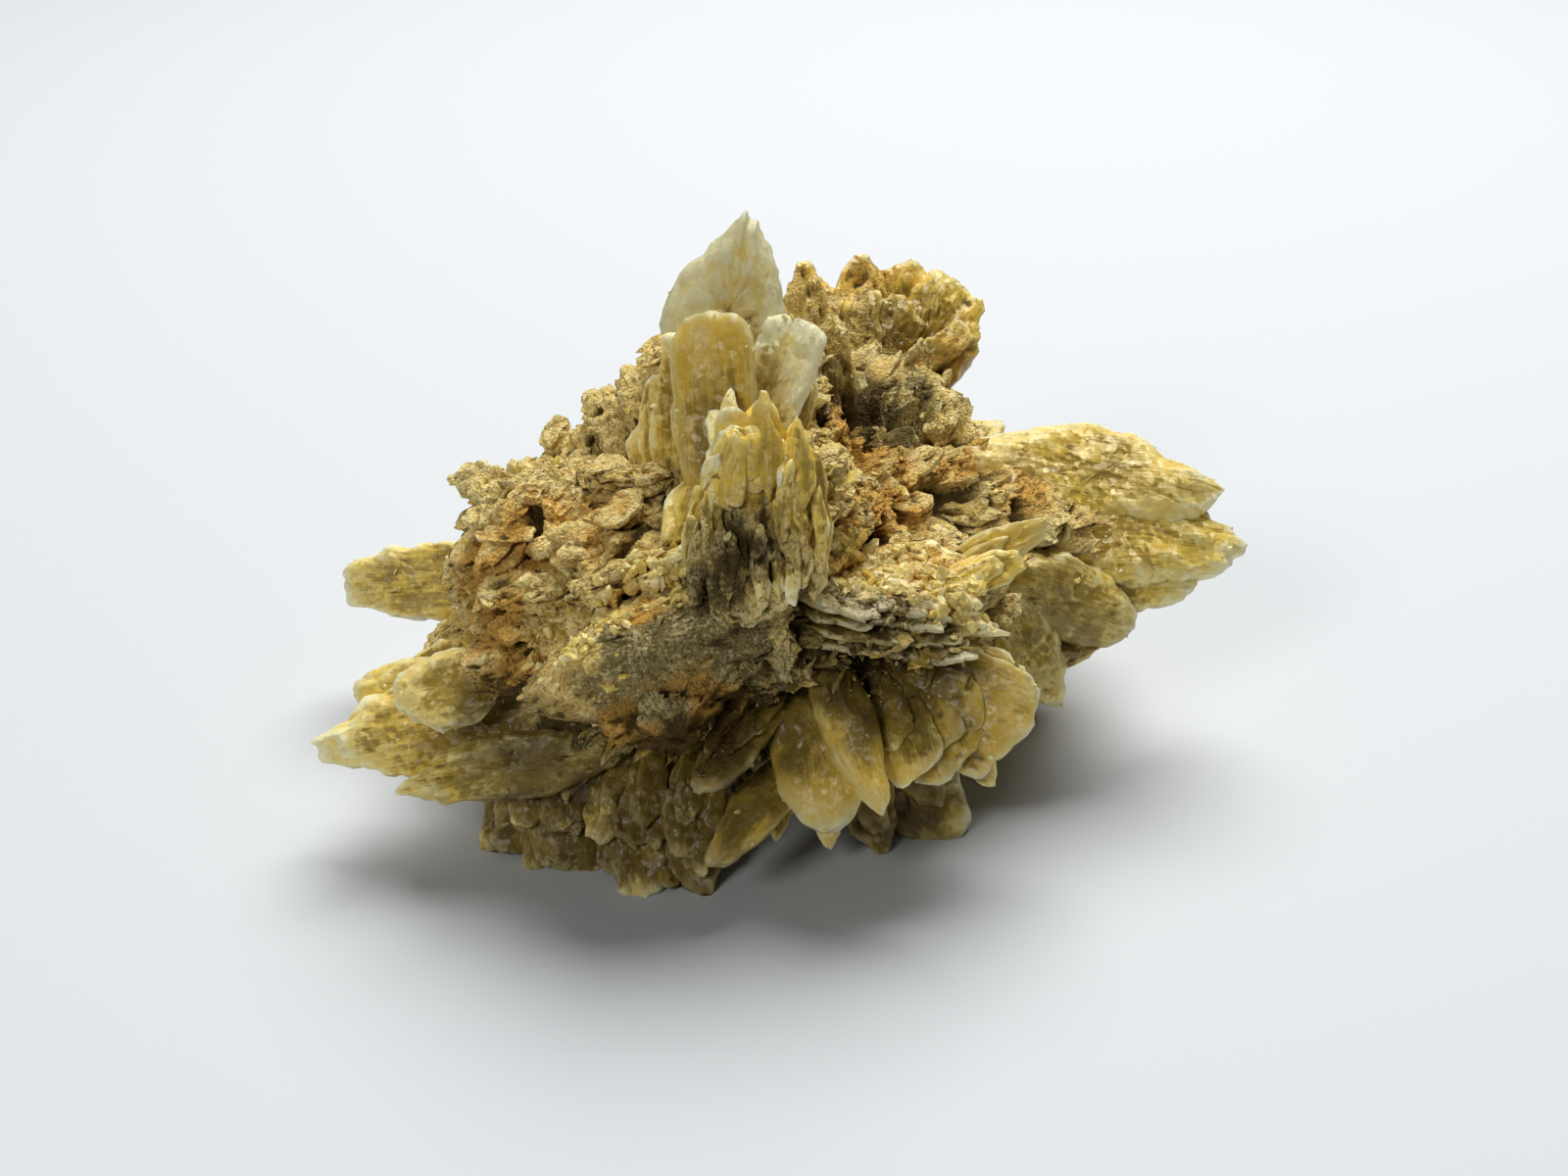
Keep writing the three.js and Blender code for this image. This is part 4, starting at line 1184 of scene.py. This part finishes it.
class Recipe:
    """The node tree of one material, with a single way to add a node."""

    def __init__(self, name):
        self.material = bpy.data.materials.new(name)
        self.material.use_nodes = True
        self.nodes = self.material.node_tree.nodes
        self.links = self.material.node_tree.links
        self.nodes.clear()

    def node(self, kind, settings, inputs, output=0):
        """Adds a node: its settings first, then values or wires into its sockets. Gives its output as a wire,
        where it has one."""
        node = self.nodes.new("ShaderNode" + kind)
        for key, value in settings.items():
            setattr(node, key, value)
        for key, value in inputs.items():
            socket = node.inputs[key]
            if isinstance(value, Wire):
                self.links.new(value.socket, socket)
            else:
                socket.default_value = value
        return Wire(self, node.outputs[output]) if node.outputs else None

    def ramp(self, value, low, high):
        """0 below low and 1 above high, with a soft change between."""
        inputs = {0: value, 1: low, 2: high, 3: 0.0, 4: 1.0}
        return self.node("MapRange", {"interpolation_type": "SMOOTHSTEP"}, inputs)

    def mix(self, amount, first, second, blend="MIX"):
        """One colour laid over another by an amount from 0 to 1."""
        settings = {"data_type": "RGBA", "blend_type": blend, "clamp_factor": True}
        return self.node("Mix", settings, {0: amount, 6: colour(first), 7: colour(second)}, 2)

    def attribute(self, name):
        """A vector that the mesh keeps for each of its points."""
        return self.node("Attribute", {"attribute_name": name}, {}, "Vector")

    def parts(self, vector):
        """The three numbers of a vector."""
        return [self.node("SeparateXYZ", {}, {0: vector}, i) for i in range(3)]

    def scaled(self, vector, factors):
        return self.node("VectorMath", {"operation": "MULTIPLY"}, {0: vector, 1: factors})

    def noise(self, vector, size, detail=3.0, roughness=0.55):
        """Noise about 0.5, with features of about size metres, or of that many units of the vector."""
        inputs = {"Vector": vector, "Scale": 1 / size, "Detail": detail, "Roughness": roughness}
        return self.node("TexNoise", {}, inputs)

    def cells(self, vector, size, output):
        """Packed cells: output 0 is the distance to a cell's middle, 1 its random colour, 2 its middle."""
        return self.node("TexVoronoi", {}, {"Vector": vector, "Scale": 1 / size}, output)

    def broken(self, vector, size):
        """Broken crystal faces: the height of planes that tilt as each cell's own colour says, in the
        vector's units, and a number of each face's own."""
        own = self.cells(vector, size, 1)
        away = self.node("VectorMath", {"operation": "SUBTRACT"}, {0: vector, 1: self.cells(vector, size, 2)})
        tilt = self.node("VectorMath", {"operation": "SUBTRACT"}, {0: own, 1: (0.5, 0.5, 0.5)})
        height = self.node("VectorMath", {"operation": "DOT_PRODUCT"}, {0: away, 1: tilt}, 1)
        return height, self.parts(own)[0]

    def finish(self, shader):
        self.node("OutputMaterial", {}, {"Surface": shader})
        return self.material


def colour(value):
    """Three numbers as a node's four; a wire stays as it is."""
    return value if isinstance(value, Wire) else (*value, 1.0)


# What the mesh says about each point, and noises about 0.5 with features of some 7, 1.6 and 0.4 mm
Marks = namedtuple("Marks", "sandy rust grey pale dark tone")
Noises = namedtuple("Noises", "broad medium fine")


def crystal_shader(recipe, marks, noises, chips, clear):
    """Selenite: olive to honey by noise and tone, milky where it is pale, stained by rust and dirt, with
    fibres along the plate and a waxy gloss. chips are small broken faces: their height, and a number of each
    face's own."""
    tints = bpy.context.scene.rose_colours
    _, rust, _, pale, dark, tone = marks
    broad, medium, fine = noises
    chip_height, chip = chips
    flow = recipe.attribute("flow")
    fibres = recipe.noise(recipe.scaled(flow, (0.12, 1.5, 1.5)), 1.0, 4.0, 0.68)
    hairs = recipe.noise(recipe.scaled(flow, (0.3, 4.5, 4.5)), 1.0, 2.0)
    lath_height, lath = recipe.broken(recipe.scaled(flow, (0.3, 1.0, 1.0)), 1.3)

    chip_share = 0.08 if clear else 0.2
    streaks = 0.6 * (fibres - 0.5) + 0.35 * (hairs - 0.5) + 0.15 * (lath - 0.5) + chip_share * (chip - 0.5)
    # Painted shade pushes the body towards olive
    depth = broad + streaks + 0.2 * tone - 0.5 * dark
    honey = recipe.ramp(depth, 0.12, 0.5) if clear else recipe.ramp(depth, 0.28, 0.6)
    body = recipe.mix(honey, tints.olive, tints.honey)
    milk = pale + 0.6 * (medium - 0.5) + streaks
    body = recipe.mix(recipe.ramp(milk, 0.3, 1.0), body, tints.frost)
    body = recipe.mix(recipe.ramp(milk, 0.85, 1.35), body, tints.pale_frost)
    body = recipe.mix(0.16 * recipe.ramp(chip + 0.8 * fine, 1.28, 1.36), body, tints.pale_frost)
    body = recipe.mix(0.25 * recipe.ramp(medium, 0.58, 0.72), body, tints.sand)
    body = recipe.mix(0.6 * rust * recipe.ramp(medium, 0.4, 0.6), body, tints.rust)
    # Painted shade: the shaded selenite colour, then the dark colour, where the dark mark is high
    body = recipe.mix(0.5 * recipe.ramp(dark, 0.1, 0.6), body, tints.painted_shade_selenite)
    body = recipe.mix(0.8 * recipe.ramp(dark + 0.4 * (fine - 0.5), 0.5, 1.4), body, tints.dark)

    frost_height = 0.8 * lath_height + (0.9 / MM) * chip_height + 0.16 * fibres + 0.1 * hairs + 0.1 * fine
    frost_inputs = {"Strength": 0.4 if clear else 0.6, "Distance": MM, "Height": frost_height}
    frost_bump = recipe.node("Bump", {}, frost_inputs, "Normal")
    inputs = {
        "Base Color": body,
        "Roughness": (0.12 + 0.3 * fine + 0.12 * pale).clamp(),
        "Normal": frost_bump,
        "IOR": 1.52,
        "Specular IOR Level": 0.4,
        "Transmission Weight": 0.3 if clear else 0.0,
        "Subsurface Weight": 0.35 if clear else 0.2,
        "Subsurface Radius": (1.0, 0.8, 0.42),
        "Subsurface Scale": 1.0 * MM,
    }
    return recipe.node("BsdfPrincipled", {}, inputs)


def sand_shader(recipe, marks, noises, chip_height, place):
    """Dull sandy matrix: ochre, pale and grey grains, rust in patches and dark dirt in the pits."""
    tints = bpy.context.scene.rose_colours
    grain = bpy.context.scene.rose_sizes.grain
    _, rust, grey, pale, dark, _ = marks
    broad, medium, fine = noises
    grains = recipe.cells(place, grain, 0)
    grain_tint = recipe.parts(recipe.cells(place, grain, 1))[0]
    coarse_tint = recipe.parts(recipe.cells(place, 2.6 * grain, 1))[1]

    base = recipe.mix(recipe.ramp(broad + 0.6 * (medium - 0.5), 0.35, 0.65), tints.sand, tints.ochre)
    base = recipe.mix(0.95 * recipe.ramp(grey + 0.4 * medium, 0.4, 0.85), base, tints.grey)
    fine_grains = recipe.ramp(grain_tint + 0.7 * pale, 0.78, 1.4)
    base = recipe.mix((0.8 - 0.4 * grey) * fine_grains, base, tints.pale_sand)
    coarse_grains = recipe.ramp(coarse_tint + 0.5 * pale, 1.0, 1.4)
    base = recipe.mix((0.8 - 0.7 * grey) * coarse_grains, base, tints.frost)
    base = recipe.mix(0.8 * recipe.ramp(rust + 0.6 * (medium - 0.5), 0.14, 0.7), base, tints.rust)
    base = recipe.mix(0.35 * recipe.ramp(grain_tint, 0.3, 0.1), base, tints.dark)
    # Painted shade: the dark colour where the dark mark is high
    base = recipe.mix(0.92 * recipe.ramp(dark + 0.45 * (fine - 0.5), 0.1, 0.95), base, tints.dark)

    sand_height = (1.0 / MM) * chip_height + 0.3 * fine - 0.25 * grains
    sand_bump = recipe.node("Bump", {}, {"Strength": 0.9, "Distance": MM, "Height": sand_height}, "Normal")
    inputs = {
        "Base Color": base,
        "Roughness": 0.9,
        "Normal": sand_bump,
        "IOR": 1.45,
        "Specular IOR Level": 0.1,
    }
    return recipe.node("BsdfPrincipled", {}, inputs)


@lru_cache(maxsize=None)
def selenite(clear):
    """Frosted selenite that goes over into sandy matrix where the stain attribute says so."""
    recipe = Recipe("clear_selenite" if clear else "frosted_selenite")
    place = recipe.node("TexCoord", {}, {}, "Object")
    marks = Marks(*recipe.parts(recipe.attribute("stain")), *recipe.parts(recipe.attribute("wear_and_painted_light")))
    broad = recipe.noise(place, 7 * MM, 3.0)
    medium = recipe.noise(place, 1.6 * MM, 4.0, 0.62)
    fine = recipe.noise(place, 0.4 * MM, 3.0, 0.65)
    noises = Noises(broad, medium, fine)
    chips = recipe.broken(place, 0.6 * MM)
    crystal = crystal_shader(recipe, marks, noises, chips, clear)
    matrix = sand_shader(recipe, marks, noises, chips[0], place)
    cover = recipe.ramp(marks.sandy + 1.0 * (medium - 0.5) + 0.6 * (fine - 0.5), 0.44, 0.62)
    return recipe.finish(recipe.node("MixShader", {}, {0: cover, 1: crystal, 2: matrix}))


# Only blades at least this wide, in mm, are made of the clear material
CLEAR_WIDTH = 2.4


def dress_cluster(name):
    """Adds a cluster: its clear blades as pieces of their own, and the others joined in one piece."""
    rest = []
    for index, (blade, surface) in enumerate(zip(CLUSTERS[name], cluster_surfaces(name))):
        if blade.growth.clear and blade.width >= CLEAR_WIDTH:
            add_piece(f"{name}_crystal_{index}", surface, selenite(True))
        else:
            rest.append(surface)
    if rest:
        add_piece(f"{name}_leaves", joined(rest), selenite(False))


class RosePiece:
    """What the operators share."""

    bl_options = {"REGISTER", "UNDO"}


def cluster_operator(name, label, words):
    """An operator class for one cluster of blades."""

    def execute(self, context):
        dress_cluster(name)
        return {"FINISHED"}

    class_name = "ROSE_OT_" + name
    body = {"bl_idname": "rose." + name, "bl_label": label, "__doc__": words, "execute": execute}
    return type(class_name, (RosePiece, bpy.types.Operator), body)


CLUSTER_OPERATORS = [
    cluster_operator("summit", "Summit", "Adds the pale spire, the round-topped slab and its steps."),
    cluster_operator("upper_right", "Upper Right Wall", "Adds the rough leaning blades behind the summit."),
    cluster_operator("right_lobe", "Right Lobe", "Adds the stack of pale leaves that points right."),
    cluster_operator("ledges", "Ledges", "Adds the thin plates on the front right."),
    cluster_operator("petals", "Petals", "Adds the fan and the petals at the front."),
    cluster_operator("feet", "Feet", "Adds the low petals that the specimen rests on."),
    cluster_operator("left_front", "Left Front Lobe", "Adds the honey plates at the front left."),
    cluster_operator("left_back", "Left Back Lobe", "Adds the squared slab at the back left."),
    cluster_operator("left_slope", "Left Slope", "Adds the rough ledges and knobs on the left."),
    cluster_operator("snout", "Snout", "Adds the sandy nose and the teeth under it."),
    cluster_operator("comb", "Comb", "Adds the upright blades in the middle."),
    cluster_operator("back", "Back", "Adds the broad leaves behind."),
    cluster_operator("underside", "Underside", "Adds the short leaves underneath."),
]


class ROSE_OT_matrix(RosePiece, bpy.types.Operator):
    """Adds the sandy matrix between the blades."""

    bl_idname = "rose.matrix"
    bl_label = "Matrix"

    def execute(self, context):
        sizes = context.scene.rose_sizes
        for core in CORES:
            add_piece(core.name, core_surface(core, sizes), selenite(False), SHARP_MATRIX)
        return {"FINISHED"}


def crystal_sizes(count, broad, thick, random):
    """Half sizes of small crystals: few broad ones and many small ones."""
    across = broad * (0.3 + 0.7 * random.random(count) ** 2.5)
    narrow = across * random.uniform(0.45, 0.95, count)
    return np.stack([across, narrow, thick * random.uniform(0.5, 1.2, count)], 1)


# Share of the small crystals that are as sandy as the ground they sit on
SANDY_SHARE = 0.7


def retoned(looks, random):
    """Looks for small crystals: their own tone and frost, and some of them cleaner than the ground."""
    count = len(looks)
    sandy = random.random(count) < SANDY_SHARE
    looks[:, SANDY] = np.where(sandy, looks[:, SANDY], 0.2 + 0.3 * random.random(count))
    looks[:, PALE] = 0.2 + 0.6 * random.random(count)
    # Small crystals take less of the painted shade of their ground
    looks[:, SHADE_PAINT] *= 0.6
    looks[:, TONE] = 2 * random.random(count) - 1
    return looks


def add_crystals(name, points, out, half, looks, random):
    """Adds small crystals as one piece."""
    crystals = small_crystals(points, out, half, looks, random)
    add_piece(name, crystals, selenite(False), SHARP_SMALL, grown=True)


# Half breadths in mm of the largest flakes, in the piece with the small ones and in the other
FLAKE_BREADTHS = (1.2, 1.9)


class ROSE_OT_flakes(RosePiece, bpy.types.Operator):
    """Adds the flakes that lie on the matrix and the rough blades along its bedding."""

    bl_idname = "rose.flakes"
    bl_label = "Flakes"

    def execute(self, context):
        count = context.scene.rose_sizes.flakes // len(FLAKE_BREADTHS)
        names = tuple(core.name for core in CORES)
        names += ("upper_right", "left_slope", "snout", "ledges")
        for index, broad in enumerate(FLAKE_BREADTHS):
            random = np.random.default_rng(5 + index)

            def likely(points, looks):
                clumps = 0.25 + 0.75 * smooth_step(-0.3, 0.5, rough_noise(points, 5, 81 + index))
                wall = 1 - 0.92 * smooth_step(29, 33, points[:, 2]) * smooth_step(6, 14, points[:, 1])
                bare = 1 - 0.92 * smooth_step(0.3, 0.8, looks[:, GREYISH])
                return smooth_step(0.3, 0.8, looks[:, SANDY]) * clumps * wall * bare

            points, normals, looks = strewn(names, count, likely, random)
            out = unit(bed_direction(points) + 0.16 * random.normal(size=points.shape))
            half = crystal_sizes(len(points), broad, 0.2, random)
            sunk = points - 0.4 * half[:, :1] * normals
            add_crystals(f"flakes_{index}", sunk, out, half, retoned(looks, random), random)
        return {"FINISHED"}


class ROSE_OT_matrix_ledges(RosePiece, bpy.types.Operator):
    """Adds the broader ledges that stand out of the matrix."""

    bl_idname = "rose.matrix_ledges"
    bl_label = "Matrix Ledges"

    def execute(self, context):
        names = ("matrix_core", "matrix_left_slope", "left_slope", "upper_right")
        surfaces = ledge_surfaces(names, context.scene.rose_sizes.ledges, 21)
        add_piece("matrix_ledges", joined(surfaces), selenite(False))
        return {"FINISHED"}


# Ridges with sugary crystals, from end to end: on the nose, and on the topmost ledge
NOSE_RIDGE = ((-23.0, -27.0, 26.0), (-8.0, -24.0, 34.0))
LEDGE_RIDGE = ((4.0, -18.0, 32.0), (18.0, -22.0, 31.0))


class ROSE_OT_sugar(RosePiece, bpy.types.Operator):
    """Adds the sugary crystals along the ridges of the nose and of the topmost ledge."""

    bl_idname = "rose.sugar"
    bl_label = "Sugar"

    def execute(self, context):
        random = np.random.default_rng(31)

        def likely(points, looks):
            chance = np.zeros(len(points))
            for start, end in (NOSE_RIDGE, LEDGE_RIDGE):
                way = np.array(end) - np.array(start)
                t = np.clip((points - start) @ way / (way @ way), 0, 1)
                away = np.linalg.norm(points - start - t[:, None] * way, axis=-1)
                chance = np.maximum(chance, np.exp(-((away / 2.0) ** 2)))
            return chance

        names = ("snout", "left_slope", "ledges", "matrix_core", "matrix_left_slope", "matrix_front")
        points, normals, looks = strewn(names, context.scene.rose_sizes.sugar, likely, random)
        across = 0.28 + 0.8 * random.random((len(points), 1)) ** 2
        half = across * random.uniform((0.8, 0.45, 0.3), (1.2, 0.9, 0.6), (len(points), 3))
        looks = retoned(looks, random)
        looks[:, SANDY] = 0.15
        looks[:, GREYISH] = 0
        looks[:, SHADE_PAINT] = 0
        looks[:, PALE] = random.uniform(0.45, 1.1, len(points))
        out = unit(normals + 0.8 * random.normal(size=points.shape))
        add_crystals("sugar", points, out, half, looks, random)
        return {"FINISHED"}


# The hollow under the ledges that the laths lie in
HOLLOW = Lump((11.0, -23.0, 24.0), (7.0, 6.0, 3.6))


class ROSE_OT_laths(RosePiece, bpy.types.Operator):
    """Adds the jumble of thin laths in the hollow under the ledges."""

    bl_idname = "rose.laths"
    bl_label = "Laths"

    def execute(self, context):
        random = np.random.default_rng(41)

        def likely(points, looks):
            return np.exp(-(((points - HOLLOW.middle) / HOLLOW.axes) ** 2).sum(-1))

        names = ("petals", "ledges", "matrix_core", "matrix_front")
        points, normals, looks = strewn(names, context.scene.rose_sizes.laths, likely, random)
        out = unit(np.cross(normals, random.normal(size=points.shape)) + 0.3 * normals)
        thin = random.uniform(0.2, 0.5, len(points))
        half = np.stack([thin, thin * 0.5, thin * random.uniform(2, 3.6, len(points))], axis=1)
        looks = retoned(looks, random)
        # Painted shade: the laths in the hollow under the ledges are painted dark at random strengths
        looks[:, SHADE_PAINT] = random.uniform(0.4, 1.2, len(points))
        add_crystals("hollow_laths", points + 0.3 * normals, out, half, looks, random)
        return {"FINISHED"}


class ROSE_OT_rim_crystals(RosePiece, bpy.types.Operator):
    """Adds the splinters that stick to the crystal leaves."""

    bl_idname = "rose.rim_crystals"
    bl_label = "Rim Crystals"

    def execute(self, context):
        names = ("right_lobe", "ledges", "petals", "feet", "left_front")
        names += ("left_back", "back", "underside", "summit")
        random = np.random.default_rng(11)

        def likely(points, looks):
            clumps = smooth_step(0.2, 0.9, rough_noise(points, 4, 91))
            return 0.05 + clumps + 0.4 * smooth_step(0.3, 0.7, looks[:, SANDY])

        points, normals, looks = strewn(names, context.scene.rose_sizes.splinters, likely, random)
        out = unit(normals + 0.8 * random.normal(size=points.shape))
        half = crystal_sizes(len(points), 0.5, 0.2, random)
        looks = retoned(looks, random)
        looks[:, PALE] += 0.4
        add_crystals("rim_crystals", points, out, half, looks, random)
        return {"FINISHED"}


# Places, breadths and aim of the two lights, in metres
KEY_PLACE = (0.09, 0.41, 0.80)
KEY_BREADTH = 0.75
FILL_PLACE = (-0.38, -0.62, 0.48)
FILL_BREADTH = 0.25
LIGHT_AIM = (0, 0, 0.02)
SKY_COLOUR = (0.93, 0.965, 1.0, 1.0)


class ROSE_OT_stage(RosePiece, bpy.types.Operator):
    """Adds the pale floor, the soft light and the camera."""

    bl_idname = "rose.stage"
    bl_label = "Stage"

    def execute(self, context):
        stage = context.scene.rose_stage
        half = stage.floor_size / 2
        corners = [(-half, -half, 0), (half, -half, 0), (half, half, 0), (-half, half, 0)]
        mesh = bpy.data.meshes.new("floor")
        mesh.from_pydata(corners, [], [(0, 1, 2, 3)])
        floor = bpy.data.objects.new("floor", mesh)
        context.collection.objects.link(floor)
        recipe = Recipe("pale_floor")
        inputs = {"Base Color": (*stage.floor_colour, 1.0), "Roughness": 0.7}
        mesh.materials.append(recipe.finish(recipe.node("BsdfPrincipled", {}, inputs)))

        world = bpy.data.worlds.new("studio")
        world.use_nodes = True
        background = world.node_tree.nodes["Background"]
        background.inputs["Color"].default_value = SKY_COLOUR
        background.inputs["Strength"].default_value = stage.sky_strength
        context.scene.world = world
        add_light(context, "key", KEY_PLACE, KEY_BREADTH, stage.key_power)
        add_light(context, "front_fill", FILL_PLACE, FILL_BREADTH, stage.fill_power)
        add_camera(context, stage)
        context.scene.view_settings.view_transform = "Standard"
        return {"FINISHED"}


def add_light(context, name, place, breadth, power):
    """A round light that looks at the specimen: its -Z points at the aim, with +Y up."""
    light = bpy.data.lights.new(name, "AREA")
    light.shape = "DISK"
    light.size = breadth
    light.energy = power
    lamp = bpy.data.objects.new(name, light)
    lamp.location = place
    lamp.rotation_euler = (Vector(LIGHT_AIM) - Vector(place)).to_track_quat("-Z", "Y").to_euler()
    context.collection.objects.link(lamp)


def add_camera(context, stage):
    """The camera looks along +Y and down by the elevation, at a point over the specimen's own origin."""
    target = np.array([0, 0, stage.look_height]) - MIDDLE * MM
    back = np.array([0, -math.cos(stage.elevation), math.sin(stage.elevation)])
    place = target + stage.distance * back
    data = bpy.data.cameras.new("camera")
    data.lens = stage.lens
    data.sensor_width = stage.sensor
    data.clip_start = 0.01
    camera = bpy.data.objects.new("camera", data)
    camera.location = place
    camera.rotation_euler = (math.pi / 2 - stage.elevation, 0, 0)
    context.collection.objects.link(camera)
    context.scene.camera = camera


class ROSE_PT_panel(bpy.types.Panel):
    """Lists the sizes, the colours and the operators."""

    bl_idname = "ROSE_PT_panel"
    bl_label = "Desert Rose"
    bl_space_type = "VIEW_3D"
    bl_region_type = "UI"
    bl_category = "Desert Rose"

    def draw(self, context):
        for group in (context.scene.rose_sizes, context.scene.rose_colours, context.scene.rose_stage):
            for key in group.__annotations__:
                self.layout.prop(group, key)
        for operator in OPERATORS:
            self.layout.operator(operator.bl_idname)


OPERATORS = [
    ROSE_OT_stage,
    ROSE_OT_matrix,
    *CLUSTER_OPERATORS,
    ROSE_OT_matrix_ledges,
    ROSE_OT_flakes,
    ROSE_OT_sugar,
    ROSE_OT_laths,
    ROSE_OT_rim_crystals,
]
GROUPS = {"rose_sizes": RoseSizes, "rose_colours": RoseColours, "rose_stage": RoseStage}


def register():
    for name, group in GROUPS.items():
        bpy.utils.register_class(group)
        setattr(bpy.types.Scene, name, bpy.props.PointerProperty(type=group))
    for operator in OPERATORS:
        bpy.utils.register_class(operator)
    bpy.utils.register_class(ROSE_PT_panel)


def unregister():
    bpy.utils.unregister_class(ROSE_PT_panel)
    for operator in reversed(OPERATORS):
        bpy.utils.unregister_class(operator)
    for name, group in GROUPS.items():
        delattr(bpy.types.Scene, name)
        bpy.utils.unregister_class(group)


def main():
    register()
    for operator in OPERATORS:
        name = operator.bl_idname.split(".")[1]
        getattr(bpy.ops.rose, name)()
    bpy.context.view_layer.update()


if __name__ == "__main__":
    main()
